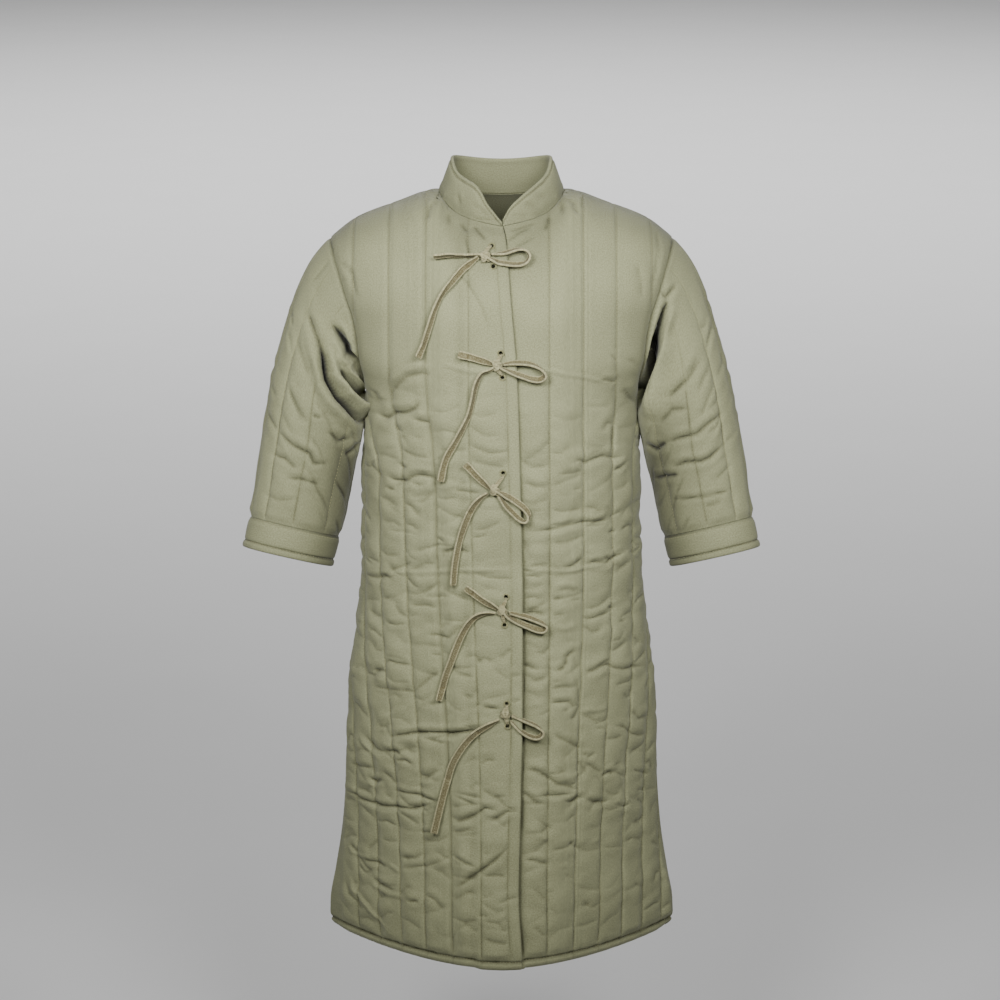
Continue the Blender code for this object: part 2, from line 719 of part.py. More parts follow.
def make_collar(edges, parent):
    """A stand collar that leans in to the neck and rounds off at its front ends."""
    lengths = [0.0]
    for before, after in zip(edges, edges[1:]):
        lengths.append(lengths[-1] + (after.point - before.point).length)
    whole = lengths[-1]
    shares = (0.0, 0.12, 0.45, 0.80, 1.0)
    outer = [[] for _ in shares]
    inner = [[] for _ in shares]
    for edge, length in zip(edges, lengths):
        from_end = min(length, whole - length) + COLLAR_END
        round_off = min(1.0, from_end / COLLAR_ROUND)
        rise = COLLAR_RISE * (1.0 - (1.0 - round_off) ** 1.5) ** (1 / 1.5)
        to_neck = Vector((-edge.point.x, -edge.point.y - NECK_BEHIND, 0.0)).normalized()
        up = (Vector((0.0, 0.0, 1.0)) + to_neck * COLLAR_LEAN).normalized()
        off = edge.along.cross(edge.normal).normalized()
        if off.dot(up) < 0:
            off = -off
        base = edge.point + off * (2 * GAP)
        outward = up.cross(edge.along)
        if length in (0.0, whole):
            outward.x = 0.0
        outward.normalize()
        if outward.dot(to_neck) > 0:
            outward = -outward
        for row, share in enumerate(shares):
            spot = base + up * (rise * share)
            wall = edge.normal if row == 0 else outward
            thick = WALL if row == 0 else COLLAR_WALL
            if row == len(shares) - 1:
                spot = spot - outward * COLLAR_EDGE
                thick -= 2 * COLLAR_EDGE
            outer[row].append(spot)
            inner[row].append(spot - wall * thick)
    mesh = wall_mesh(outer, inner, list(range(len(edges))))
    return add_object("collar", mesh, CLOTH, parent)


def armhole(front, back, side):
    """The armhole's edge: up the front from the underarm, over the tip, down the back."""
    front_rows = range(-ROWS_ABOVE["front"] - 1, 0)
    back_rows = range(-ROWS_ABOVE["back"] - 1, 0)
    front_column = len(front.columns) - 1
    back_column = 0 if side < 0 else len(back.columns) - 1
    points = [front.outer[row][front_column].copy() for row in front_rows]
    normals = [front.normal[row][front_column] for row in front_rows]
    points += [back.outer[row][back_column].copy() for row in reversed(back_rows)][1:-1]
    normals += [back.normal[row][back_column] for row in reversed(back_rows)][1:-1]
    for spot in (0, ROWS_ABOVE["front"]):
        points[spot].y = 0.0
    return edge_points(points, normals, closed=True)


sleeve_at = Curve([(float(row), *values) for row, values in enumerate(SLEEVE)])


def arm_ring(row, side):
    """Centre and directions of a ring round the arm: outward, forward, and its sizes."""
    outward, forward, height, outer, inner, half_depth = sleeve_at(row)
    ahead = sleeve_at(min(row + 0.05, len(SLEEVE) - 1.0))
    behind = sleeve_at(max(row - 0.05, 0.0))
    along = Vector((side * (ahead[0] - behind[0]), -(ahead[1] - behind[1]),
                    ahead[2] - behind[2])).normalized()
    fore = Vector((0.0, -1.0, 0.0))
    fore = (fore - along * fore.dot(along)).normalized()
    away = along.cross(fore).normalized()
    if away.x * side < 0:
        away = -away
    centre = Vector((side * outward, -forward, height))
    return centre, along, away, fore, outer, inner, half_depth


def arm_point(row, side, angle, grow=0.0):
    """A point on the arm; angle 0 faces the body, a quarter turn is the front."""
    centre, _, away, fore, outer, inner, half_depth = arm_ring(row, side)
    width = -math.cos(angle) * ((outer if math.cos(angle) < 0 else inner) + grow)
    return centre + away * width + fore * (math.sin(angle) * (half_depth + grow))


def grid_normals(grid, centre_of):
    """Outward directions of a closed tube's grid of points."""
    rows, count = len(grid), len(grid[0])
    found = []
    for row in range(rows):
        line = []
        for spot in range(count):
            around = grid[row][(spot + 1) % count] - grid[row][spot - 1]
            along = grid[min(row + 1, rows - 1)][spot] - grid[max(row - 1, 0)][spot]
            line.append(around.cross(along).normalized())
        found.append(line)
    middle = rows // 2
    if found[middle][0].dot(grid[middle][0] - centre_of(middle)) < 0:
        found = [[-normal for normal in line] for line in found]
    return found


def sleeve_angles():
    """The angle of every column, from the underarm up the front and down the back."""
    front, back = ROWS_ABOVE["front"], ROWS_ABOVE["back"]
    angles = [math.pi * spot / front for spot in range(front)]
    return angles + [math.pi * (1.0 + spot / back) for spot in range(back)]


def make_sleeve(edges, name, side, parent):
    """A sleeve from its armhole to the seam above the cuff."""
    end = cuff_start(side)
    angles = sleeve_angles()
    twist = SLEEVE_TWIST["right" if side < 0 else "left"]
    grid = []
    for share in SLEEVE_HEAD:
        line = []
        for edge, angle in zip(edges, angles):
            along = arm_ring(0.0, side)[1]
            target = arm_point(0.0, side, angle + twist * math.sin(angle / 2) ** 2)
            off = edge.along.cross(edge.normal).normalized()
            if off.dot(Vector((side, 0.0, 0.0)) + Vector((0.0, 0.0, 0.3))) < 0:
                off = -off
            start = edge.point + off * (2 * GAP)
            reach = (target - start).length
            lead = (off + Vector((side, 0.0, -1.0)) * SLEEVE_DROP).normalized()
            first = start + lead * (SLEEVE_SWEEP * reach)
            second = target - along * (SLEEVE_SWEEP * reach)
            s, t = 1.0 - share, share
            line.append(start * s ** 3 + first * (3 * s * s * t)
                        + second * (3 * s * t * t) + target * t ** 3)
        grid.append(line)
    for row in range(1, SLEEVE_ROWS + 1):
        at = end * row / SLEEVE_ROWS
        grid.append([arm_point(at, side, angle + twist * math.sin(angle / 2) ** 2)
                     for angle in angles])
    normals = grid_normals(grid, lambda row: sum(grid[row], Vector()) / len(angles))
    normals[0] = [edge.normal for edge in edges]
    along_end = arm_ring(end, side)[1]
    normals[-1] = [(n - along_end * n.dot(along_end)).normalized() for n in normals[-1]]
    outer, inner = [], []
    rows = len(grid)
    for row in range(rows):
        flat = {0: 0.0, 1: 0.5, rows - 1: 0.0}.get(row, 1.0)
        out_row, in_row = [], []
        for spot, (point, normal) in enumerate(zip(grid[row], normals[row])):
            rise = PUFF * flat * channel_shape(spot % COLUMNS_PER_CHANNEL
                                               / COLUMNS_PER_CHANNEL)
            base = -fold_depth(name, point) * flat if normal.y < 0.0 else 0.0
            out_row.append(point + normal * (base + rise))
            in_row.append(point + normal * (base - WALL))
        outer.append(out_row)
        inner.append(in_row)
    mesh = wall_mesh(outer, inner, list(range(len(angles))), closed=True)
    return add_object(name, mesh, CLOTH, parent)


def cuff_start(side):
    """Where along the sleeve's rows the cuff begins."""
    last = len(SLEEVE) - 1.0
    end = arm_ring(last, side)[0]
    at = last
    while (arm_ring(at, side)[0] - end).length < CUFF_HEIGHT:
        at -= 0.005
    return at


def make_cuff(name, side, parent):
    """A plain band below the sleeve's end, a little wider than it."""
    last = len(SLEEVE) - 1.0
    start = cuff_start(side)
    angles = [2.0 * math.pi * spot / CUFF_COLUMNS for spot in range(CUFF_COLUMNS)]
    ahead = arm_ring(start, side)[1] * (2 * GAP)
    rows = (
        # share, grow
        (0.0, 0.0), (0.06, CUFF_STEP), (0.76, CUFF_STEP), (0.88, CUFF_STEP + CUFF_ROLL),
        (1.0, CUFF_STEP * 0.6),
    )
    outer, inner = [], []
    for share, grow in rows:
        at = start + (last - start) * share
        outer.append([arm_point(at, side, angle, grow) + ahead for angle in angles])
        inner.append([arm_point(at, side, angle, -WALL) + ahead for angle in angles])
    mesh = wall_mesh(outer, inner, list(range(CUFF_COLUMNS)), closed=True)
    return add_object(name, mesh, CLOTH, parent)


# ---------------------------------------------------------------- eyelets and ties
def eyelet_cutter(name):
    """All ten eyelets as cylinders through the fronts, for a Boolean to cut with."""
    mesh = bmesh.new()
    for tie, beside in zip(TIES, EYELETS_BESIDE_KNOT):
        for across, up in (beside[:2], beside[2:]):
            centre, normal = on_lap(tie.across + across / 1000.0,
                                    tie.height + up / 1000.0, EYELET_MIDDLE)
            turn = Vector((0.0, 0.0, 1.0)).rotation_difference(normal).to_matrix().to_4x4()
            turn.translation = centre
            bmesh.ops.create_cone(mesh, cap_ends=True, segments=EYELET_SIDES,
                                  radius1=EYELET_RADIUS, radius2=EYELET_RADIUS,
                                  depth=EYELET_CUT, matrix=turn)
    data = bpy.data.meshes.new(name)
    mesh.to_mesh(data)
    mesh.free()
    cutter = bpy.data.objects.new(name, data)
    bpy.context.scene.collection.objects.link(cutter)
    cutter.hide_render = True
    cutter.display_type = "WIRE"
    return cutter


def cut_with(thing, cutter):
    cut = thing.modifiers.new("eyelets", "BOOLEAN")
    cut.operation = "DIFFERENCE"
    cut.object = cutter
    cut.solver = "EXACT"


def route_points(tie, route):
    """World points of a strand's route."""
    return [on_lap(tie.across + across / 1000.0, tie.height + up / 1000.0,
                   out / 1000.0)[0] for across, up, out in route]


def smooth_route(points, spacing):
    """Evenly spaced points on a smooth curve through the route's own points."""
    points = [Vector(point) for point in points]
    padded = [points[0] * 2 - points[1]] + points + [points[-1] * 2 - points[-2]]
    fine = []
    for before, start, end, after in zip(padded, padded[1:], padded[2:], padded[3:]):
        for step in range(12):
            t = step / 12
            fine.append(0.5 * (2 * start + (end - before) * t
                               + (2 * before - 5 * start + 4 * end - after) * t * t
                               + (3 * start - before - 3 * end + after) * t ** 3))
    fine.append(points[-1])
    lengths = [0.0]
    for before, after in zip(fine, fine[1:]):
        lengths.append(lengths[-1] + (after - before).length)
    count = max(4, round(lengths[-1] / spacing))
    even = [lengths[-1] * spot / count for spot in range(count + 1)]
    columns = [np.interp(even, lengths, [point[axis] for point in fine])
               for axis in range(3)]
    return [Vector(point) for point in zip(*columns)]


def add_strand(name, tie, route, parent):
    curve = bpy.data.curves.new(name, "CURVE")
    curve.dimensions = "3D"
    curve.bevel_depth = TAPE_RADIUS
    curve.bevel_resolution = 2
    curve.use_fill_caps = True
    points = smooth_route(route_points(tie, route), 4.0 * TAPE_RADIUS)
    spline = curve.splines.new("POLY")
    spline.points.add(len(points) - 1)
    for spot, point in zip(spline.points, points):
        spot.co = (*point, 1.0)
    curve.materials.append(material(name, TAPE))
    strand = bpy.data.objects.new(name, curve)
    bpy.context.scene.collection.objects.link(strand)
    strand.parent = parent
    return strand


def add_knot(name, tie, parent):
    across, out, up = KNOT
    centre, normal = on_lap(tie.across, tie.height, out + KNOT_CLEAR)
    mesh = bmesh.new()
    bmesh.ops.create_uvsphere(mesh, u_segments=10, v_segments=7, radius=1.0)
    bmesh.ops.scale(mesh, verts=mesh.verts[:], vec=(across, up, out))
    turn = Vector((0.0, 0.0, 1.0)).rotation_difference(normal).to_matrix()
    bmesh.ops.rotate(mesh, verts=mesh.verts[:], matrix=turn)
    knot = add_object(name, mesh, TAPE, parent)
    knot.location = centre
    return knot


def add_ties(parent):
    for number, tie in enumerate(TIES, start=1):
        add_knot(f"tie_{number}_knot", tie, parent)
        add_strand(f"tie_{number}_loop", tie, tie.loop, parent)
        add_strand(f"tie_{number}_long_tail", tie, tie.long, parent)
        if tie.short:
            add_strand(f"tie_{number}_short_tail", tie, tie.short, parent)


# ---------------------------------------------------------------- the whole garment
def main():
    for thing in list(bpy.data.objects):
        bpy.data.objects.remove(thing, do_unlink=True)
    shoulders = bpy.data.objects.new("shoulders", None)
    bpy.context.scene.collection.objects.link(shoulders)

    right, left, back = (make_panel(name) for name in ("front_right", "front_left", "back"))
    cutter = eyelet_cutter("eyelet_cutter")
    for panel in (right, left, back):
        thing = add_panel(panel, shoulders)
        if panel.name != "back":
            cut_with(thing, cutter)
    make_collar(neckline(right, back, left), shoulders)
    for side, word, front in ((-1.0, "right", right), (1.0, "left", left)):
        make_sleeve(armhole(front, back, side), f"sleeve_{word}", side, shoulders)
        make_cuff(f"cuff_{word}", side, shoulders)
    add_ties(shoulders)


main()
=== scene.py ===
import functools
import math
from collections import namedtuple

import bmesh
import bpy
import numpy as np
from bpy.props import FloatProperty, FloatVectorProperty, IntProperty, PointerProperty
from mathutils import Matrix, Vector


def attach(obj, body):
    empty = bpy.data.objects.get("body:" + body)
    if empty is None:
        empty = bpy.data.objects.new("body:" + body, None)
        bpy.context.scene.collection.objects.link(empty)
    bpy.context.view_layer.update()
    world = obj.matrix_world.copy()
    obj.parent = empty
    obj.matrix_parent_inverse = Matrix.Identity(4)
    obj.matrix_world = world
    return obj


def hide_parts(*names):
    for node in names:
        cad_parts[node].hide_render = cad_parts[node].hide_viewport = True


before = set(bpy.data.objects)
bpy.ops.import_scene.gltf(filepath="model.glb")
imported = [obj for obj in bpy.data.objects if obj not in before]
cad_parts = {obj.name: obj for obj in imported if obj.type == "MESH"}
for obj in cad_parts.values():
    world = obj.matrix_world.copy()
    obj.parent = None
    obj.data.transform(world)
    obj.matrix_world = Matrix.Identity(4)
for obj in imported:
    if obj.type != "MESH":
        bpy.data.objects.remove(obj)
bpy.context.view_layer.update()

bl_info = {
    "name": "Quilted gambeson",
    "version": (1, 0, 0),
    "blender": (4, 5, 0),
    "location": "3D View > Sidebar > Gambeson",
    "description": "Builds a quilted cotton gambeson with tape ties around its packed solids",
    "category": "Object",
}

# ---- cut of the garment
HEM = -1.050            # heights are below the point where the shoulders carry it
UNDERARM = -0.275
NECK_HALF = 0.086
TIP = -0.0635
TIP_HALF = 0.2295
WALL = 0.004            # the cloth, its padding and lining at a stitch line
SEAM_GAP = 0.0003
SEAM_FLAT = 0.014       # the padding thins out over this width beside a seam
TOPSTITCH = 0.015       # from the front edge to the stitching beside it
OVERLAP_CLEAR = 0.0012  # between the two fronts where they lap
HIDDEN_STITCH = 0.006   # the under front ends this far inside the first quilt line
EDGE_CLEAR = 0.0010     # and near the neck this far from the upper front's edge
TUCK_START = 0.020      # below the neck, where it begins to go under
TUCK_OVER = 0.045       # and how much height it takes to get there
LAP_FADE = 0.015        # the upper front settles back over this girth
LAP_TOP_FADE = 0.016    # and over this height at the neck
COVERED = 0.003         # how far the under front's line lies beyond the edge above it
HEM_ROLL = 0.013        # height of the rolled hem
FIXED_ABOVE = -0.215    # the quilt lines run straight up from here
EVEN_BELOW = -0.370     # and are evenly spaced from here down
BODY_LINES = 7
SHOULDER_START = {"front": -0.160, "back": -0.135}

# Half of a level section through the body.
BODY = (
    # height, half_width, front, back, flatness, corner, reach
    (-1.050, 0.2430, 0.171, 0.165, 1.80, 1.00, 0.2430),
    (-1.010, 0.2420, 0.170, 0.163, 1.83, 0.97, 0.2420),
    (-0.960, 0.2335, 0.167, 0.160, 1.92, 0.92, 0.2335),
    (-0.890, 0.2230, 0.161, 0.154, 1.95, 0.85, 0.2230),
    (-0.800, 0.2165, 0.155, 0.149, 2.00, 0.75, 0.2165),
    (-0.700, 0.2125, 0.149, 0.143, 2.05, 0.65, 0.2125),
    (-0.640, 0.2055, 0.145, 0.138, 2.10, 0.58, 0.2055),
    (-0.570, 0.1950, 0.141, 0.133, 2.15, 0.53, 0.1950),
    (-0.500, 0.1895, 0.140, 0.130, 2.20, 0.50, 0.1895),
    (-0.400, 0.1870, 0.144, 0.132, 2.25, 0.50, 0.1870),
    (-0.315, 0.1850, 0.147, 0.136, 2.30, 0.50, 0.1850),
    (-0.275, 0.1840, 0.147, 0.138, 2.30, 0.50, 0.1840),
    (-0.250, 0.1920, 0.146, 0.138, 2.30, 0.50, 0.1855),
    (-0.220, 0.2060, 0.146, 0.138, 2.30, 0.50, 0.1905),
    (-0.190, 0.2125, 0.143, 0.137, 2.30, 0.50, 0.1935),
    (-0.160, 0.2210, 0.141, 0.135, 2.30, 0.50, 0.1985),
    (-0.137, 0.2330, 0.138, 0.133, 2.30, 0.50, 0.2060),
    (-0.099, 0.2520, 0.133, 0.130, 2.30, 0.50, 0.2175),
    (-0.0635, 0.2700, 0.130, 0.127, 2.30, 0.50, 0.2295),
    (0.020, 0.2950, 0.126, 0.122, 2.30, 0.50, 0.2600),
)
# The neckline and shoulder, from the centre out.
SHOULDER = (
    # across, out, height, fall
    (0.086, 0.000, 0.0000, 0.50),
    (0.140, 0.000, -0.0165, 0.50),
    (0.197, 0.000, -0.0390, 0.50),
    (0.2295, 0.000, -0.0635, 0.50),
    (0.300, 0.000, -0.1200, 0.50),
)
TOP_FRONT = (
    (0.000, 0.095, -0.0340, 1.00),
    (0.035, 0.083, -0.0280, 1.00),
    (0.060, 0.058, -0.0215, 0.85),
    (0.078, 0.030, -0.0085, 0.65),
    *SHOULDER,
)
TOP_BACK = (
    (0.000, 0.062, -0.0120, 0.90),
    (0.035, 0.056, -0.0100, 0.85),
    (0.060, 0.042, -0.0060, 0.75),
    (0.078, 0.022, -0.0020, 0.60),
    *SHOULDER,
)
LAP_EDGE = (
    # height, past_centre
    (-1.050, 0.028), (-0.940, 0.023), (-0.860, 0.024), (-0.700, 0.0275),
    (-0.525, 0.028), (-0.370, 0.025), (-0.230, 0.021), (-0.125, 0.0125),
    (-0.077, 0.0085), (-0.045, 0.0046), (-0.030, 0.0008),
)
CHEST_LINES = {
    "front_right": (0.043, 0.0996, 0.149, 0.197, 0.247, 0.297, 0.347),
    "front_left": (0.0630, 0.108, 0.152, 0.199, 0.247, 0.297, 0.347),
    "back": (0.050, 0.0996, 0.149, 0.197, 0.247, 0.297, 0.347),
}
LINE_SPACING = (
    # height, right_first, left_first, pitch
    (-1.050, 0.026, 0.064, 0.0420),
    (-0.800, 0.028, 0.064, 0.0430),
    (-0.525, 0.037, 0.065, 0.0480),
    (-0.275, 0.043, 0.064, 0.0490),
)
SLEEVE = (
    # outward, forward, height, outer, inner, half_depth
    (0.2515, 0.021, -0.290, 0.0640, 0.0620, 0.059),
    (0.2570, 0.027, -0.335, 0.0655, 0.0635, 0.055),
    (0.2665, 0.034, -0.380, 0.0635, 0.0625, 0.051),
    (0.2750, 0.045, -0.425, 0.0610, 0.0610, 0.047),
    (0.2905, 0.060, -0.492, 0.0602, 0.0602, 0.0425),
)


class Curve:
    """A smooth curve through a table's rows that never overshoots them."""

    def __init__(self, rows):
        self.at = np.array([row[0] for row in rows], float)
        self.value = np.array([row[1:] for row in rows], float)
        slope = np.diff(self.value, axis=0) / np.diff(self.at)[:, None]
        before, after = slope[:-1], slope[1:]
        same_way = before * after > 0
        total = np.where(same_way, before + after, 1.0)
        inner = np.where(same_way, 2.0 * before * after / total, 0.0)
        self.slope = np.vstack([slope[:1], inner, slope[-1:]])

    def __call__(self, at):
        at = np.clip(np.asarray(at, float), self.at[0], self.at[-1])
        cell = np.clip(np.searchsorted(self.at, at) - 1, 0, len(self.at) - 2)
        width = self.at[cell + 1] - self.at[cell]
        t = ((at - self.at[cell]) / width)[..., None]
        width = width[..., None]
        low, high = self.value[cell], self.value[cell + 1]
        leave, arrive = self.slope[cell] * width, self.slope[cell + 1] * width
        return (low * (1 + 2 * t) * (1 - t) ** 2 + high * t * t * (3 - 2 * t)
                + leave * t * (1 - t) ** 2 - arrive * t * t * (1 - t))


def smooth_step(value):
    """From 0 to 1 with level ends."""
    value = np.clip(value, 0.0, 1.0)
    return value * value * (3.0 - 2.0 * value)


def bell(away, wide):
    """1 at a place, and almost nothing at twice the width away from it."""
    return np.exp(-(away / wide) ** 2)


def arch(share, sharp=2.6, full=0.62):
    """The padding's rise between two stitch lines: broad in its middle, steep at its ends."""
    return np.maximum(0.0, 1.0 - np.abs(2.0 * share - 1.0) ** sharp) ** full


def unit(vectors):
    """The same directions at length 1."""
    return vectors / np.linalg.norm(vectors, axis=-1, keepdims=True)


def stacked(*parts):
    """Arrays of shapes that fit each other, side by side on a last axis."""
    return np.stack(np.broadcast_arrays(*parts), axis=-1)


def smoothed(values, times, axes=(0,)):
    """The values after averaging with their neighbours; those at the ends stay."""
    values = values.copy()
    for _ in range(times):
        for axis in axes:
            row = np.moveaxis(values, axis, 0)
            row[1:-1] = 0.25 * row[:-2] + 0.5 * row[1:-1] + 0.25 * row[2:]
    return values


def lengths_along(points):
    """Distance along a line to each of its points."""
    steps = np.linalg.norm(np.diff(points, axis=0), axis=1)
    return np.concatenate([[0.0], np.cumsum(steps)])


def read_at(where, lengths, values):
    """A table's columns at distances along the line that it belongs to."""
    return np.stack([np.interp(where, lengths, column) for column in values.T], axis=-1)


def face_of(name):
    """Front or back, from a panel's name."""
    return name.split("_")[0]


def side_of(name):
    """-1 on the wearer's right, where across runs the other way, and 1 elsewhere."""
    return -1.0 if name.endswith("right") else 1.0


body_at = Curve(BODY)
top_at = {"front": Curve(TOP_FRONT), "back": Curve(TOP_BACK)}
lap_edge_at = Curve(LAP_EDGE)
spacing_at = Curve(LINE_SPACING)
sleeve_at = Curve([(float(row), *values) for row, values in enumerate(SLEEVE)])


def depth(face, across, height):
    """How far the cloth stands in front of, or behind, the shoulder line."""
    half_width, front, back, flatness, corner, _ = np.moveaxis(body_at(height), -1, 0)
    full = front if face == "front" else back
    across = np.minimum(np.abs(across), half_width)
    level = full * (1.0 - (across / half_width) ** flatness) ** corner
    out, top, fall = np.moveaxis(top_at[face](across), -1, 0)
    start = SHOULDER_START[face]
    rise = np.clip((height - start) / (top - start), 0.0, 1.0)
    return out + (level - out) * (1.0 - rise ** 2) ** fall


SAMPLES = np.sin(np.linspace(0.0, math.pi / 2, 200))
SLOPE_STEP = 0.0008
UP = np.array([0.0, 0.0, 1.0])


def sections(face, heights):
    """Level sections at many heights: girth from the centre, and across."""
    heights = np.atleast_1d(np.asarray(heights, float))
    across = SAMPLES * body_at(heights)[:, :1]
    out = depth(face, across, heights[:, None])
    step = np.hypot(np.diff(across, axis=1), np.diff(out, axis=1))
    return np.hstack([np.zeros((len(heights), 1)), np.cumsum(step, axis=1)]), across


def look_up(keys, values, wanted):
    """One value for each row, where that row's keys reach what is wanted."""
    cell = np.clip((keys < wanted[:, None]).sum(axis=1) - 1, 0, keys.shape[1] - 2)
    row = np.arange(len(keys))
    low, high = keys[row, cell], keys[row, cell + 1]
    share = np.clip((wanted - low) / (high - low), 0.0, 1.0)
    return values[row, cell] * (1 - share) + values[row, cell + 1] * share


def girth_of(face, across, heights):
    """Distance round the cloth from the centre, out to each across."""
    heights = np.atleast_1d(np.asarray(heights, float))
    across = np.broadcast_to(np.asarray(across, float), heights.shape)
    girth, xs = sections(face, heights)
    found = look_up(xs, girth, np.abs(across))
    return np.sign(across) * (found + np.maximum(0.0, np.abs(across) - xs[:, -1]))


def across_of(face, girth, heights):
    """Across where the cloth reaches each girth."""
    heights = np.atleast_1d(np.asarray(heights, float))
    girth = np.broadcast_to(np.asarray(girth, float), heights.shape)
    girths, xs = sections(face, heights)
    return np.sign(girth) * look_up(girths, xs, np.abs(girth))


def surface(face, across, height, side=1.0):
    """Points of the cloth and the directions in which it faces, mirrored if side is -1."""
    step = SLOPE_STEP
    half_width = body_at(height)[..., 0]
    inside = np.clip(across, step - half_width, half_width - step)
    beside = depth(face, inside + step, height) - depth(face, inside - step, height)
    high = np.minimum(height + step, top_at[face](np.abs(across))[..., 1])
    below = depth(face, across, high) - depth(face, across, high - 2 * step)
    turn = -1.0 if face == "front" else 1.0
    out = depth(face, across, height)
    normals = unit(stacked(-side * (beside / (2 * step)), turn, -(below / (2 * step))))
    return np.stack([side * across, turn * out, height], axis=-1), normals


# ---- quilt lines
def edge_across(name, line, height):
    """Distance from the centre of a front's edge, or of the line beside it."""
    edge = lap_edge_at(height)[..., 0]
    if name == "front_right":
        return -edge if line < 0 else TOPSTITCH - edge
    if line == 0:
        return edge + COVERED
    tucked = smooth_step((TOP_FRONT[0][2] - TUCK_START - height) / TUCK_OVER)
    hidden = line_girth("front_right", 1, height) - HIDDEN_STITCH
    return (edge + EDGE_CLEAR) * (1 - tucked) - hidden * tucked


LEVELS = np.linspace(HEM, 0.02, 430)


@functools.lru_cache(maxsize=None)
def line_levels(name, line):
    """A quilt line's girth at every one of the levels."""
    face = face_of(name)
    if line <= 0 and face == "front":
        return girth_of(face, edge_across(name, line, LEVELS), LEVELS)
    if line == 0:
        return np.zeros_like(LEVELS)
    fixed = girth_of(face, CHEST_LINES[name][abs(line) - 1], LEVELS)
    right_first, left_first, pitch = np.moveaxis(spacing_at(LEVELS), -1, 0)
    even = abs(line) * pitch
    if face == "front":
        even = (right_first if name == "front_right" else left_first) + (line - 1) * pitch
    change = smooth_step((LEVELS - EVEN_BELOW) / (FIXED_ABOVE - EVEN_BELOW))
    return (even + (fixed - even) * change) * (-1.0 if line < 0 else 1.0)


def line_girth(name, line, height):
    """Girth from the centre to a quilt line, towards the panel's side."""
    return np.interp(height, LEVELS, line_levels(name, line))


@functools.lru_cache(maxsize=None)
def reach_levels(face):
    """That reach at every one of the levels."""
    return girth_of(face, body_at(LEVELS)[..., 5], LEVELS)


def reach_at(face, height):
    """Girth to the side seam or the armhole."""
    return np.interp(height, LEVELS, reach_levels(face))


# ---- padding and creases
PUFF_CHEST = 0.0028     # how far the padding rises between two stitch lines
LINE_APART = 0.042      # a channel's width where only its lines' shade counts
FOLD_DARK = 0.012       # a fold this deep gets the most painted shade
PUFF_SKIRT = 0.0038
SMOOTH_ABOVE = -0.200   # the chest is pulled smooth above this height
CRUMPLED_BELOW = -0.330
EDGE_ROUND = 0.0024     # radius of every turned edge
HEM_TUCK = 0.0052       # how far the roll turns in at its lower edge
CORNER_TUCK = 0.0080    # and how much more at the side seams
HEM_FULL = 0.0013       # how far the rolled hem stands out
GROOVE = 0.0028         # depth of the stitching above the hem's roll
GROOVE_WIDTH = 0.0024
QUILT_CHANNEL = 0.045   # a channel's width where only its stitching's gathers count
BAND_PUFF = 0.0011      # the padding between the front edge and the stitching beside it
SHOULDER_FROM = NECK_HALF - 0.001
CREASE_WIDTH = 0.00120  # metres for each mm of a crease's stated width
ROLL_ROWS = np.array([0.0, 0.04, 0.12, 0.25, 0.40, 0.57, 0.73, 0.86, 0.94, 1.0, 1.07, 1.16,
                      1.28, 1.45])
GROOVE_ROW = 9          # the one of them on the stitching above the roll

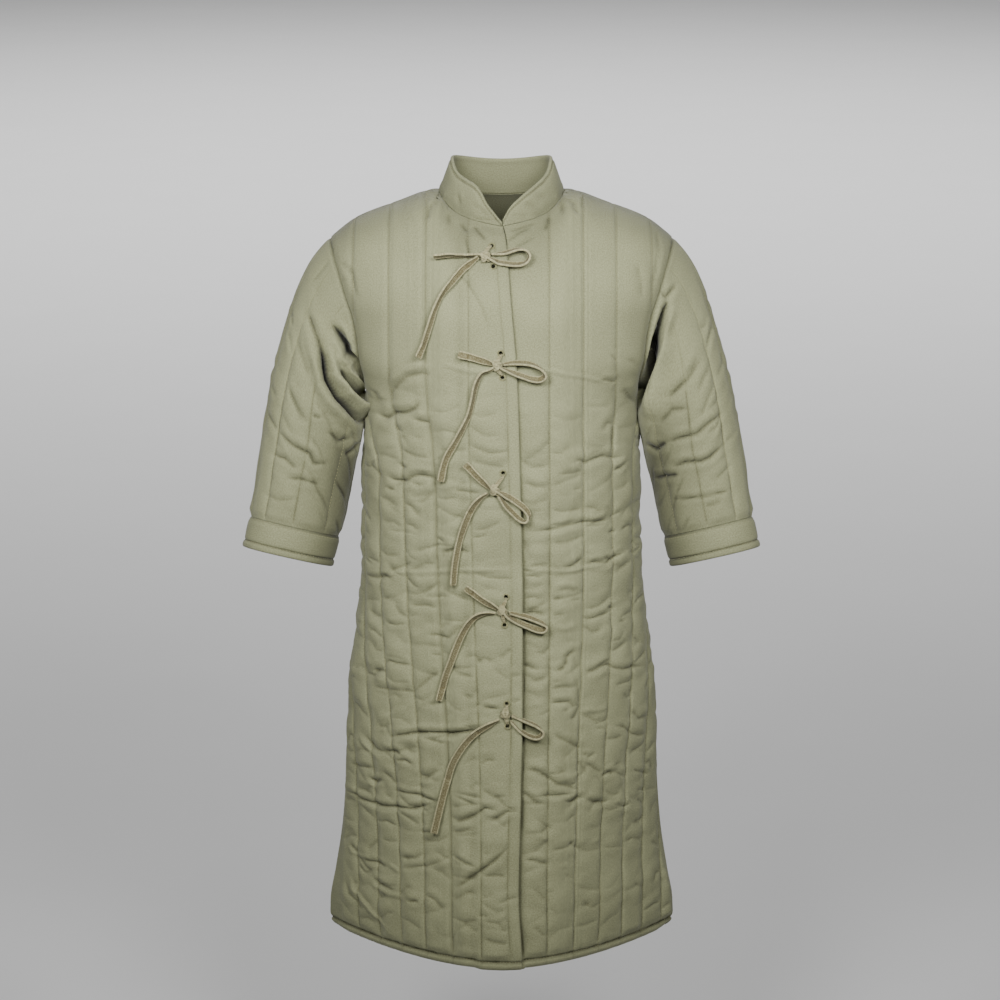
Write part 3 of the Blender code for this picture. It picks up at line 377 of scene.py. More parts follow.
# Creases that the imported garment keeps, in mm on the cloth: how far each stands out (below
# zero it sinks in), how wide it is, its start across and up, then each step along its way.
CREASES = {"front_right": (
    (2, 4, -161, -274, 7, 20, 13, 20, 16, 13, 20, 8, 16, -5),
    (-2, 4, -149, -264, 10, 19, 14, 15, 18, 6, 17, -2),
    (-4.2, 4, -163, -291, 11, -2, 10, 9, 10, 2, 9, 3, 10, 7, 7, 12),
    (1.4, 4, -172, -327, 3, 19, 9, 18), (-3, 4, -168, -257, 7, -17),
    (-2.6, 3.4, -117, -286, 10, -3, 14, -1), (-1.2, 3, -139, -303, 8, -6),
    (-1, 3, -119, -312, 15, 1), (-1.8, 2.6, -138, -351, 8, -5, 7, 2),
    (-1.5, 4, -174, -362, 16, -15),
    (-3.2, 3.2, -152, -372, 12, -4, 14, 2, 7, 7, 11, 4, 13, -1, 13, -4),
    (-1.5, 2.6, -121, -373, 12, -4, 14, 6), (-1.8, 3, -153, -395, 14, 12, 11, 9),
    (1.2, 3, -84, -380, 18, 9, 15, 3), (-1.5, 2.5, -62, -379, 20, -2, 16, 0),
    (-1.2, 4, -121, -396, 22, 7, 13, 8), (-1.2, 5, -85, -432, 20, 11, 19, 15, 7, 7),
    (-1, 4, -150, -447, 23, 2, 18, -1), (-2, 3, -85, -446, 10, -8),
    (-1.6, 3, -38, -444, 12, 2, 8, 6), (-2.2, 4, -120, -473, 18, 9, 20, 7, 20, 0),
    (-1.6, 3, -80, -478, 7, 12, 14, 6), (-2, 3.5, -186, -522, 17, 2, 11, 5, 12, 14, 16, 8, 19, 10),
    (-1.6, 2.5, -161, -513, 17, 0), (-1.5, 4, -107, -530, 15, 13, 10, 8),
    (-1.2, 2.5, -106, -532, 21, 2, 19, 3), (-1.2, 3, -123, -563, 13, 8), (1, 3, -198, -600, 14, 18),
    (-1.6, 2.5, -155, -578, 13, 0, 14, 5),
    (-2.4, 3.2, -103, -589, 12, 6, 11, -2, 9, -1, 11, 12, 14, 12), (-1.2, 2.5, -94, -611, 14, 0),
    (-2, 3, -161, -638, 9, 8, 12, -1, 13, 1, 9, -1), (-2, 4, -173, -649, 17, 3),
    (-1.6, 4, -176, -674, 27, 4, 28, 4), (-2.2, 3.5, -121, -671, 11, 13, 16, 16, 14, 11),
    (-1.4, 4, -120, -674, 15, -2, 14, 11, 9, 9), (1.2, 3, -166, -718, 24, 18, 21, 15),
    (-1.2, 3, -53, -613, 11, 4, 9, 1, 8, -13), (-1.4, 2.5, 14, -638, 11, 6),
    (-1.6, 2.5, 14, -673, 12, 7), (-2.2, 2.4, -25, -678, 12, -2, 10, 0),
    (-1.2, 2.5, -38, -683, 10, 11),
    (-4.4, 3, -157, -741, 17, 8, 18, 7, 28, 6, 27, 1, 22, 5, 11, 3, 12, 5, 11, 6),
    (-2, 3, -97, -732, 14, 7, 16, 5), (1.6, 3, -162, -727, 5, -10),
    (1.6, 2.6, -194, -748, 6, -10, 11, -10, 14, -4), (-2.2, 4, -187, -747, 9, -10, 11, -5, 6, -1),
    (-3, 3, -160, -761, 17, 4, 10, -3), (-2.4, 2.6, -143, -770, 14, 5, 11, -5),
    (-2, 3, -208, -800, 19, 5, 16, 5), (-2.6, 2.5, -182, -807, 10, -4, 10, 9),
    (1, 2.5, -185, -814, 13, -5, 12, 13), (1.6, 3, -114, -789, 8, -4, 9, 3, 18, 17),
    (-2, 4, -111, -781, 10, -3, 9, 6, 10, 10),
    (-2.8, 2.6, -149, -815, 20, 2, 15, 1, 13, -3, 13, -1, 7, 4),
    (-3.4, 2.8, -216, -843, 12, 1, 13, -2, 12, 1, 16, 1, 20, 5, 25, 4, 11, 5, 17, 10, 10, 5),
    (-2.2, 3, -63, -805, 14, -6, 13, -5, 11, 5), (-1.4, 3, -56, -800, 17, -5, 15, 1),
    (-3.2, 3, -66, -845, 16, 6, 14, 8, 14, 12, 16, -2),
    (-1.6, 3, -12, -796, 10, -11, 9, -10, 14, -5), (-2.2, 2.6, -18, -839, 12, 6, 13, 9, 14, 2),
    (-1.8, 3, -67, -858, 15, 3, 12, 7), (-2, 2.4, -111, -866, 23, 5),
    (1.4, 2.4, -214, -913, 8, -13, 16, 0, 7, 2, 10, -2), (-2.4, 2.6, -189, -930, 16, 3, 16, -2),
    (1.4, 2.4, -154, -924, 7, -2, 7, -5), (-1.8, 2.6, -140, -926, 19, 8, 19, 6, 14, 8, 18, 12),
    (-2, 2.4, -67, -889, 17, -9, 17, -6), (-1, 3, -135, -911, 21, 10),
    (-3.6, 2.8, -69, -942, 19, 16, 21, 17, 20, 17, 18, 19),
    (2, 2.6, -211, -961, 6, -18, 10, -6, 12, -10, 14, -13, 14, -13),
    (-1.8, 3.5, -217, -970, 6, -16, 10, -8, 12, -10),
    (1.4, 2.6, -183, -956, 10, -6, 16, -3, 10, 1, 17, -2),
    (-1.8, 3, -179, -950, 11, -6, 14, -2, 10, 0), (-2.6, 2.5, -127, -968, 15, 5),
    (-1.5, 3, -238, -992, 14, 8), (-2, 2.6, -238, -1019, 12, 6), (-1.4, 3, -6, -952, 18, 7, 12, 1),
    (1.2, 3, -13, -979, 11, 8, 11, 5), (-1.4, 3, -32, -970, 16, 1),
    (-1.1, 3.4, -68, -1013, 9, 19, 16, 16), (-0.9, 4, -108, -982, 20, 11, 18, 11),
    (-1.8, 3, -70, -23, 3, -13), (-2, 3, -55, -33, 11, -11), (-2.2, 3, -38, -33, 19, -21),
    (-1.5, 3, -48, -47, 5, -19, 3, -12), (-2, 4, -90, -9, -5, -8, -1, -13),
    (-1.2, 3.4, -64, -86, 20, -20, 18, -27, 14, -36), (-1.4, 3, -201, -85, 11, -49),
    (-1.4, 3, -211, -86, 13, -17),
), "front_left": (
    (-2.2, 2.8, 130, -234, 11, -4, 11, -5), (-2.8, 4, 161, -253, 9, -17, 11, -15),
    (-1.3, 3, 164, -210, 14, -10, 9, -14), (-1.2, 2.5, 144, -202, 9, -11),
    (-1.6, 2.6, 149, -301, -1, -30, -2, -11), (1, 3, 108, -311, 14, -10, 19, -6),
    (-2.6, 3.4, 87, -347, 15, 6, 9, -6, 11, 4, 13, 2, 14, -6, 14, -1),
    (-1.8, 2.6, 149, -365, 10, 3, 6, 5), (1, 3, 27, -389, 15, -3), (-1, 2.8, 34, -371, 28, -6),
    (-1, 2.6, 94, -382, 13, 1), (-2.4, 3.2, 35, -436, 32, 1, 20, 4, 18, 2, 18, -1, 19, -2),
    (-1.6, 3, 118, -434, 14, 4, 8, -1), (-1.8, 2.6, 142, -448, 11, -3), (-1.2, 3, 143, -429, 17, 7),
    (-1.2, 2.4, 170, -475, 8, 1, 6, -10, -5, -6, -7, 5, -2, 10), (-2.4, 3, 82, -489, 12, 1, 14, 10),
    (-1, 3, 112, -470, 10, -9), (-2.8, 2.8, 112, -489, 11, 3, 16, -5, 12, 6, 14, 3),
    (-1.6, 5, 29, -445, 6, -19, 6, -16), (-2, 2.6, 30, -491, 12, -1),
    (-2.2, 2.8, 30, -499, 12, 1, 12, -3), (1.2, 3, 68, -522, 8, 10, 12, 1, 13, -7, 7, -9),
    (-1.2, 4, 73, -522, 15, 3, 12, -7), (-2, 2.8, 30, -531, 11, 4, 12, -5),
    (-1.2, 2.8, 68, -533, 13, 1), (-1, 2.8, 89, -535, 17, -1),
    (-2.8, 3, 30, -552, 11, 3, 11, -2, 8, -5), (-1.2, 2.8, 68, -555, 15, 2),
    (1.4, 3.6, 62, -560, 10, -11, 11, -3, 9, 2, 10, 4), (-2.4, 3, 108, -561, 11, -4, 14, 2, 14, 2),
    (-2, 2.6, 143, -553, 10, -6), (-1.6, 2.6, 157, -576, 10, -4), (-1.2, 5, 30, -590, 24, -11),
    (-2.2, 2.8, 29, -621, 9, -4, 11, -3), (1.2, 3, 52, -619, 23, -7),
    (-3, 2.8, 71, -633, 11, 4, 5, 7, 1, 8, 7, 7, 4, -5), (-1.8, 2.6, 99, -643, 4, -22, 2, -20),
    (-2.4, 3, 106, -630, 6, -6, 12, -2, 10, 4, 9, 1, 9, -7, 12, -5, 16, -2, 15, -7),
    (-1.3, 3, 152, -664, 14, -1, 14, 0), (-1.2, 3, 69, -644, 7, -4), (-1, 3.4, 32, -658, 23, -9),
    (1, 3, 29, -679, 13, 3, 19, 1), (-2.4, 2.8, 63, -676, 12, 1, 14, -1, 8, -7, 8, 0),
    (-1.4, 2.8, 82, -689, 11, 5), (1.2, 3, 106, -690, 18, -3, 20, -1), (-1.4, 3, 124, -714, 20, 3),
    (-2, 2.8, 148, -720, 18, -8, 11, -14, 11, -7, 9, 0),
    (-2.2, 3, 70, -720, 13, -9, 14, -9, 12, -9), (1, 3, 52, -712, 14, -5),
    (-1.8, 2.6, 109, -751, 9, -8, 7, 6), (-2.2, 2.8, 112, -765, 11, -9, 13, -13),
    (-2.4, 2.8, 135, -791, 11, 3, 7, -5), (-1, 3, 153, -776, 13, -10),
    (-3, 3, 28, -769, 13, 2, 11, -4, 11, -9, 12, -10, 14, -6, 19, -8),
    (1.4, 3, 68, -771, 9, -6, 16, -5, 17, 2), (-3.2, 2.8, 28, -797, 7, -6, 8, -7, 11, -8),
    (-2.2, 2.8, 41, -805, 15, 0, 14, -1, 19, 0, 12, -2), (-2.8, 3, 82, -813, 11, -6, 11, 5, 7, -3),
    (-2.2, 3, 111, -816, 14, -9, 13, -4, 10, 0), (-1.8, 2.8, 152, -834, 14, -10, 10, 0),
    (-1.5, 2.8, 185, -827, 13, -5), (-1.8, 2.8, 177, -794, 15, -10, 12, -10),
    (1.3, 3.2, 32, -843, 11, -11, 13, -10, 14, -6), (-1.8, 5, 43, -834, 16, -13, 12, -9),
    (-1.5, 3, 89, -874, 11, -10, 10, -6), (-2.6, 2.8, 31, -894, 12, -1, 12, -5, 10, -4),
    (0.8, 3, 76, -907, 18, -4), (1.3, 3, 28, -937, 14, -5, 11, -13, 11, -15),
    (-1.5, 4, 44, -933, 17, -21), (1, 3, 121, -881, 12, -3),
    (1.1, 3, 211, -907, 7, -13, 5, -30, 9, -42), (-1.1, 3, 181, -959, 15, -13),
    (-1, 2.6, 62, -942, 8, -1), (-0.9, 3, 108, -970, 14, -1), (-2.6, 3, 6, -42, 21, 6, 20, 5),
    (-2.3, 3, 9, -53, 15, 11, 15, 5), (-1.4, 3, 14, -62, 30, 13), (-2.2, 3, 63, -25, -7, -18),
    (-1.8, 3, 80, -12, 0, -12), (-2, 4, 90, -8, 5, -6, 5, -10),
    (-1.5, 3, 200, -43, 5, -43, -5, -35), (-1.3, 4, 178, -83, 7, -50),
), "back": (
    (-2.4, 4, -150, -262, 38, 22, 42, 4), (-2, 4, 60, -246, 44, -4, 36, -18),
    (-2.2, 4, -160, -352, 50, 7, 46, -11), (-2, 4, 20, -372, 46, 8, 32, -6),
    (-2.6, 4, 118, -410, 34, 8, 24, -10), (-2.4, 4, -100, -438, 50, 6, 44, -9),
    (-3.4, 5, -130, -540, 70, 18, 70, -4, 60, 7, 58, -17), (-2.2, 4, -178, -560, 38, -6, 40, 10),
    (-2.4, 4, 92, -590, 48, 6, 42, -12), (-2, 4, -60, -612, 40, 8, 44, -12),
    (-2.8, 4, -190, -668, 40, -8, 46, 12, 42, -8), (-3.6, 5, 36, -690, 48, -12, 46, -4, 42, -16),
    (-3.4, 5, -168, -738, 56, -10, 48, -8, 46, -12), (-2.2, 4, 10, -790, 42, 8, 44, -12),
    (-2.6, 4, 110, -832, 40, 8, 46, -12), (-2.4, 4, -150, -846, 46, 10, 42, -12),
    (-3, 4, -40, -906, 44, 22, 40, 16), (-2.4, 4, 72, -926, 46, 8, 42, -12),
    (-2.4, 4, -196, -930, 36, -14, 38, 4), (-2.2, 4, -90, -986, 38, 14, 38, -6),
)}
# Sharp ridges where the garment was folded flat in its parcel.
PACK_FOLDS = {"front_right": (
    (1.2, 2.4, -86, -209, 8, 0, 37, -8, 51, -1, 20, 0),
    (1.2, 2.4, -186, -522, 59, 21, 80, 11, 57, 4, 20, -1),
), "front_left": (
    (1.2, 2.4, 20, -217, 38, 0, 52, -12, 41, -15), (1.2, 2.4, 20, -486, 64, -9, 28, 2, 51, 6),
), "back": (
    (1.2, 2.4, -150, -232, 90, 18, 120, 0, 90, -16),
    (1.2, 2.4, -180, -512, 120, 24, 120, 1, 120, -21),
)}


PANEL_SEED = {"front_right": 11, "front_left": 23, "back": 37}
BACK_FOLDS = 0.7        # the back's creases against the fronts'
HEM_SHADE = 0.46        # how much shade is painted in the hem's groove
TOP_SHADE = 0.30        # and at its upper end, where it fades over this reach
TOP_SHADE_REACH = 0.120
LINE_SHADE = 0.15       # in the quilt lines
LAP_SHADE = 0.22        # and beside the lap, as the lap's painted shadow


def lattice_noise(across, up, seed):
    """Smooth noise between -1 and 1, with about one bump in each unit square."""
    across, up = np.broadcast_arrays(across, up)
    values = np.random.default_rng(seed).uniform(-1.0, 1.0, (97, 389))
    column, row = np.floor(across).astype(int), np.floor(up).astype(int)
    s, t = smooth_step(across - column), smooth_step(up - row)
    wide, tall = values.shape

    def at(step_column, step_row):
        return values[(column + step_column) % wide, (row + step_row) % tall]

    return ((at(0, 0) * (1 - s) + at(1, 0) * s) * (1 - t)
            + (at(0, 1) * (1 - s) + at(1, 1) * s) * t)


def gathers(from_line, near, far, strength=1.0):
    """Puckers that a row of stitching pulls into the cloth beside it."""
    return strength * (0.00065 * near * np.exp(-from_line / 0.0055)
                       + 0.0012 * far * np.exp(-from_line / 0.0120)) \
        * (1.0 - np.exp(-from_line / 0.0015))


def in_metres(creases):
    """Creases from their rows: how far out, how wide, and their ways in metres."""
    return [(out, wide, np.cumsum(np.reshape(way, (-1, 2)), axis=0) * 0.001)
            for out, wide, *way in creases]


def crease_rise(places, creases):
    """How far creases lift or sink the cloth at places on it, all in metres."""
    rise = np.zeros(places.shape[:-1])
    for out, wide, way in creases:
        wide = wide * CREASE_WIDTH
        reach = 6.0 * wide
        low, high = way.min(axis=0) - reach, way.max(axis=0) + reach
        near = np.all((places > low) & (places < high), axis=-1)
        here = places[near]
        if not len(here):
            continue
        lengths = np.linalg.norm(np.diff(way, axis=0), axis=1)
        whole = lengths.sum()
        best = np.full(len(here), 1e9)
        along, lean = np.zeros(len(here)), np.zeros(len(here))
        before = np.cumsum(lengths) - lengths
        for start, end, gone, length in zip(way, way[1:], before, lengths):
            share = np.clip((here - start) @ (end - start) / length ** 2, 0.0, 1.0)
            offset = here - start - share[:, None] * (end - start)
            away = np.linalg.norm(offset, axis=1)
            closer = away < best
            lean = np.where(closer, offset[:, 1], lean)
            best = np.where(closer, away, best)
            along = np.where(closer, gone + share * length, along)
        ends = smooth_step(np.minimum(along, whole - along) / (0.30 * whole) + 0.12)
        if out > 0:
            shape = bell(best, wide) - 0.2 * bell(best / wide - 2.0, 0.9)
        else:
            # A valley, with the padding that it pushes aside standing up beside it.
            beside = 0.44 + 0.14 * lean / np.maximum(best, 1e-6)
            shape = (0.65 * np.exp(-(best / wide) ** 1.5) + 0.60 * bell(best, 0.42 * wide)
                     - beside * bell(best / wide - 2.4, 1.3))
        rise[near] += out * 0.001 * shape * ends
    return rise


def crumpling(height):
    """From 0 on the smooth chest to 1 on the crumpled skirt."""
    return smooth_step((SMOOTH_ABOVE - height) / (SMOOTH_ABOVE - CRUMPLED_BELOW))


def small_creases(name, seed):
    """Short creases across single channels, closer together towards the hem."""
    rng = np.random.default_rng(seed)
    found = []
    first, deep, apart = 0, (0.4, 1.9), (0.013, 0.038)
    if name == "back":
        first, deep, apart = -BODY_LINES, (0.9, 2.4), (0.020, 0.060)
    for line in range(first, BODY_LINES):
        height = HEM + 0.030 + rng.uniform(0.0, 0.03)
        while height < SMOOTH_ABOVE:
            left, right = (float(line_girth(name, spot, height)) for spot in (line, line + 1))
            if min(abs(left), abs(right)) < float(reach_at(face_of(name), height)) - 0.01:
                long = rng.uniform(0.35, 1.10)
                start, end = left, left + (right - left) * long
                if rng.random() < 0.5:
                    start, end = right, right - (right - left) * long
                slope = rng.uniform(-0.020, 0.020)
                bow = rng.uniform(-0.008, 0.008)
                middle = start + (end - start) * rng.uniform(0.35, 0.65)
                way = [(start, height), (middle, height + 0.5 * slope + bow),
                       (end, height + slope)]
                out = -rng.uniform(*deep) * float(crumpling(height))
                found.append((out, rng.uniform(3.0, 6.0), np.array(way)))
            height += rng.uniform(*apart)
    return found


def on_cloth(name, creases):
    """A panel's creases in metres, with girth in place of across."""
    found = []
    for out, wide, way in in_metres(creases):
        girth = girth_of(face_of(name), side_of(name) * way[:, 0], way[:, 1])
        found.append((out, wide, np.column_stack([girth, way[:, 1]])))
    return found


# ---- the panels' grids
# folded holds each point's painted shade, which the material mixes into the colour.
Panel = namedtuple("Panel", "name columns girth height normals outer inner same folded down")


def panel_columns(name, step):
    """Columns as a quilt line's number and a share of the way to the next one."""
    found = []
    first = -BODY_LINES if name == "back" else -1
    for line in range(first, BODY_LINES):
        width = float(line_girth(name, line + 1, -0.5) - line_girth(name, line, -0.5))
        count = max(4, round(width / step))
        if name == "front_left" and line == -1:
            count = 6
        even = np.arange(count) / count
        found += list(line + even - 0.05 * np.sin(2 * math.pi * even))
        if line == -1 and name == "front_right":
            found[1:1] = [-0.97, -0.92]
    return np.array(found + [float(BODY_LINES)])


def columns_girth(name, columns, heights):
    """Girth of each column at its heights; heights has a row for each row of the grid."""
    found = np.zeros(heights.shape)
    for spot, column in enumerate(columns):
        line = min(int(math.floor(column)), BODY_LINES - 1)
        share = column - line
        found[:, spot] = (line_girth(name, line, heights[:, spot]) * (1.0 - share)
                          + line_girth(name, line + 1, heights[:, spot]) * share)
    return found


def panel_heights(face, tops, step):
    """Heights of all the grid's points, from the hem up to each column's upper end."""
    start = SHOULDER_START[face]
    roll = HEM + HEM_ROLL * ROLL_ROWS
    step *= 0.75 if face == "back" else 0.50
    count = round((UNDERARM - roll[-1]) / step)
    skirt = np.linspace(roll[-1], UNDERARM, count + 1)[1:]
    upright = np.linspace(UNDERARM, start, round((start - UNDERARM) / step) + 1)[1:]
    level = np.concatenate([roll, skirt, upright])
    turn = np.sin(math.pi / 2 * np.linspace(0.0, 1.0, round(0.21 / step) + 1)[1:])
    above = start + (tops[None, :] - start) * turn[:, None]
    return np.vstack([np.repeat(level[:, None], len(tops), axis=1), above])


def panel_across(face, girth, heights):
    """Across for the girths of a grid, with one table for each level row."""
    found = np.zeros(girth.shape)
    for row in range(len(girth)):
        if np.ptp(heights[row]) == 0.0:
            table, xs = sections(face, heights[row, :1])
            found[row] = np.sign(girth[row]) * np.interp(np.abs(girth[row]), table[0], xs[0])
        else:
            found[row] = across_of(face, girth[row], heights[row])
    return found


def lowest(rise, reach):
    """How far the cloth sinks within some grid steps, so that its lining stays behind it."""
    for axis in (0, 1):
        span = rise.shape[axis]
        padded = np.pad(np.minimum(rise, 0.0), [(reach, reach) if axis == side else (0, 0)
                                               for side in (0, 1)], mode="edge")
        rise = np.minimum.reduce([np.take(padded, np.arange(span) + move, axis=axis)
                                  for move in range(2 * reach + 1)])
    return rise


def lap_lift(girth, height):
    """How far the lapping front stands clear of the one below it."""
    line = line_girth("front_right", 1, height)
    rise = (WALL + OVERLAP_CLEAR) * (1.0 - smooth_step((girth - line) / LAP_FADE))
    return rise * smooth_step((TOP_FRONT[0][2] - height) / LAP_TOP_FADE)


def rounded_edge(distance, radius=EDGE_ROUND):
    """How far a turned edge falls away at a distance from its end."""
    inside = np.clip(radius - distance, 0.0, radius)
    return radius - np.sqrt(radius ** 2 - inside ** 2)


def hem_rise(above, girth, to_side, seed):
    """The rolled hem and the gathered stitching above it."""
    roll = HEM_FULL * arch(np.clip(above / HEM_ROLL, 0.0, 1.0), full=0.5)
    gather = 1.0 + 0.45 * lattice_noise(girth / 0.0065, 0.0, seed)
    groove = GROOVE * gather * bell(above - HEM_ROLL, GROOVE_WIDTH)
    pull = 0.0009 * lattice_noise(girth / 0.0085, above / 0.03, seed + 1)
    pull = pull * np.exp(-np.abs(above - HEM_ROLL) / 0.010)
    tuck = HEM_TUCK * np.clip(1.0 - above / (0.8 * HEM_ROLL), 0.0, 1.0) ** 2
    tuck = tuck + (CORNER_TUCK * bell(to_side, 0.022)
                   * np.clip(1.0 - above / 0.024, 0.0, 1.0) ** 2)
    return np.where(above < HEM_ROLL, roll, 0.0) - groove + pull - tuck


def quilt_rise(columns, girth, height, seed):
    """Padding, gathers along the stitch lines, and the lumps that the filling makes."""
    line = np.minimum(np.floor(columns).astype(int), BODY_LINES - 1)
    share = np.broadcast_to(columns - line, girth.shape)
    crumpled = crumpling(height)
    puff = PUFF_CHEST + (PUFF_SKIRT - PUFF_CHEST) * crumpled
    lumps = lattice_noise(line * 7.3, height / 0.034, seed)
    lumps2 = lattice_noise(girth / 0.022, height / 0.017, seed + 1)
    rise = puff * arch(share) * (1.0 + crumpled * (0.30 * lumps + 0.22 * lumps2))
    rise += 0.0016 * crumpled * lattice_noise(girth / 0.050, height / 0.031, seed + 7)
    rise += 0.00055 * crumpled * lattice_noise(girth / 0.021 + height / 0.040,
                                               height / 0.0125, seed + 8)
    for from_line, side in ((share, 0), (1.0 - share, 1)):
        row = line + side
        near = lattice_noise(row * 5.1 + 0.5 * side, height / 0.0095, seed + 2 + side)
        far = lattice_noise(row * 3.7 + 0.5 * side, height / 0.021, seed + 4 + side)
        rise += gathers(from_line * QUILT_CHANNEL, near, far, 0.25 + 0.75 * crumpled)
    return rise


def build_panel(name, settings):
    """The fine grid of a panel: points on its outer face and on its lining."""
    face, side = face_of(name), side_of(name)
    step = settings.grid_step
    columns = panel_columns(name, step)
    tops = np.zeros(len(columns))
    for _ in range(4):
        girth = columns_girth(name, columns, tops[None, :])[0]
        across = np.minimum(np.abs(across_of(face, girth, tops)), TIP_HALF)
        tops = np.minimum(top_at[face](across)[:, 1], 0.0)
    last = len(columns) - 1
    tops[last] = TIP
    if name == "back":
        tops[0] = TIP
    height = panel_heights(face, tops, step)
    girth = columns_girth(name, columns, height)
    reach = reach_at(face, height)
    girth[:, last] = reach[:, last]
    same = np.tile(np.arange(len(columns)), (len(height), 1))
    same[girth > reach - 0.5 * step] = last
    to_side = reach - girth
    if name == "back":
        girth[:, 0] = -reach[:, 0]
        same[girth < -reach + 0.5 * step] = 0
        to_side = np.minimum(reach - girth, girth + reach)
    across = panel_across(face, np.clip(girth, -reach, reach), height)
    points, normals = surface(face, across, height)
    normals = unit(smoothed(normals, 8, (0, 1)))

    seed = PANEL_SEED[name]
    rise = quilt_rise(columns, girth, height, seed)
    if name == "front_right":
        band = columns < 0.0
        share = np.clip(columns[band] + 1.0, 0.0, 1.0)
        rise[:, band] = BAND_PUFF * arch(share)
        edge = line_girth(name, -1, height)
    if name == "front_left":
        rise[:, columns <= 0.0] = 0.0
    step_up = np.linalg.norm(np.diff(points, axis=0), axis=2)
    to_top = np.vstack([np.cumsum(step_up[::-1], axis=0)[::-1], np.zeros((1, len(columns)))])
    above = height - HEM
    fade = smooth_step(to_side / SEAM_FLAT) * smooth_step(to_top / SEAM_FLAT)
    fade = fade * smooth_step((above - HEM_ROLL) / SEAM_FLAT)
    creases = on_cloth(name, CREASES[name] + PACK_FOLDS[name]) + small_creases(name, seed + 50)
    folds = crease_rise(stacked(girth, height), creases)
    by_seam = np.abs(across[-1]) > SHOULDER_FROM
    folds *= np.where(by_seam, smooth_step((to_top - 0.004) / 0.036), 1.0)
    if name == "back":
        folds *= BACK_FOLDS
    rise *= 0.30 + 0.70 * smooth_step(to_top / 0.070)
    rise = (rise + settings.crease_strength * folds) * fade
    # Painted shade: darker in the creases, the hem's groove, near the upper end and in the quilt
    # lines.
    folded = -folds * fade / FOLD_DARK + HEM_SHADE * bell(above - HEM_ROLL, GROOVE_WIDTH)
    folded = np.maximum(folded, 0.0) + TOP_SHADE * (1.0 - smooth_step(to_top / TOP_SHADE_REACH))
    from_line = np.abs(columns - np.round(columns)) * LINE_APART
    folded = folded + LINE_SHADE * bell(from_line, 0.0016) * (np.round(columns) != 0)
    hem = hem_rise(above, girth, to_side, seed + 60)
    if name == "front_left":
        hem[:, columns <= 0.0] = 0.0
    rise = rise + hem - rounded_edge(above)
    slack = smooth_step((UNDERARM - height) / 0.35) * smooth_step(above / 0.05)
    if name == "front_right":
        curl = (0.0003 + 0.0034 * slack) * (1.0 + 0.8 * lattice_noise(height / 0.043, 0.0, 5))
        rise += curl * bell(girth - edge, 0.012) * smooth_step(to_top / 0.03)
        rise += lap_lift(girth, height) - rounded_edge(girth - edge) * smooth_step(to_top / 0.010)
    if name == "front_left":
        beyond = girth - line_girth(name, 0, height)
        dip = (0.0003 + 0.0024 * slack) * (1.0 + 0.6 * lattice_noise(height / 0.038, 0.0, 6))
        near_lap = bell(beyond, 0.016) + 0.6 * bell(beyond, 0.006)
        rise -= dip * near_lap * smooth_step(to_top / 0.03) * smooth_step(above / 0.03)
        # Painted shadow that the upper front's edge casts on the under front.
        folded += LAP_SHADE * slack * bell(beyond, 0.007)

    # The seams' points stay on the seams, so that neighbours meet there.
    seam = (same == last) | ((same == 0) & (name == "back"))
    low = seam & (height <= UNDERARM + 1e-9)
    rise = np.where(seam & ~low, 0.0, rise)
    normals[low, 1] = 0.0
    normals = unit(normals)
    away = -SEAM_GAP if face == "front" else SEAM_GAP
    points[-1, by_seam, 1] = away
    points[low, 1] = 0.1 * away
    base = lap_lift(girth, height) if name == "front_right" else np.zeros(girth.shape)
    sunk = base + lowest(rise - base + rounded_edge(above), settings.lining_step) - WALL
    outer = points + normals * rise[..., None]
    inner = points + normals * sunk[..., None]
    for grid in (outer, inner, normals):
        grid[..., 0] *= side
    return Panel(name, columns, girth, height, normals, outer, inner, same,
                 np.clip(folded, 0.0, 1.0), tops[None, :] - to_top)


# ---- meshes from grids
THREAD_ANGLE = 80.0     # edges sharper than this, in degrees, stay sharp


def without_repeats(loop):
    """A face's corners without doubles, or None where fewer than three are left."""
    kept = [corner for spot, corner in enumerate(loop) if corner != loop[spot - 1]]
    return kept if len(set(kept)) > 2 else None


def coarse_steps(count, step):
    """Steps of the given size from the first of some spots to the last one."""
    spots = [*range(0, count - 1, step), count - 1]
    return list(zip(spots, spots[1:]))


def wall_faces(shape, same, closed, inner_step):
    """Faces of a wall: its outer grid, a coarser lining, and the edges between them."""
    rows, count = shape
    columns = coarse_steps(count + 1 if closed else count, inner_step)
    levels = coarse_steps(rows, inner_step)
    number = np.take_along_axis(np.arange(rows * count).reshape(rows, count), same, axis=1)
    outside, inside = number.tolist(), (number + rows * count).tolist()
    faces = []

    def add(loop):
        loop = without_repeats(loop)
        if loop:
            faces.append(loop)

    def spot(grid, row, column):
        return grid[row][column % count]

    for row in range(rows - 1):
        for column in range(count if closed else count - 1):
            add([spot(outside, row, column), spot(outside, row, column + 1),
                 spot(outside, row + 1, column + 1), spot(outside, row + 1, column)])
    for low, high in levels:
        for left, right in columns:
            add([spot(inside, low, right), spot(inside, low, left),
                 spot(inside, high, left), spot(inside, high, right)])
    for row, turn in ((0, -1), (rows - 1, 1)):
        for left, right in columns:
            edge = [spot(outside, row, column) for column in range(left, right + 1)]
            add((edge + [spot(inside, row, right), spot(inside, row, left)])[::turn])
    if not closed:
        for column, turn in ((0, 1), (count - 1, -1)):
            for low, high in levels:
                edge = [outside[row][column] for row in range(low, high + 1)]
                add((edge + [inside[high][column], inside[low][column]])[::turn])
    return faces


def add_object(name, data):
    """An object with some data, in the scene."""
    thing = bpy.data.objects.new(name, data)
    bpy.context.scene.collection.objects.link(thing)
    return thing


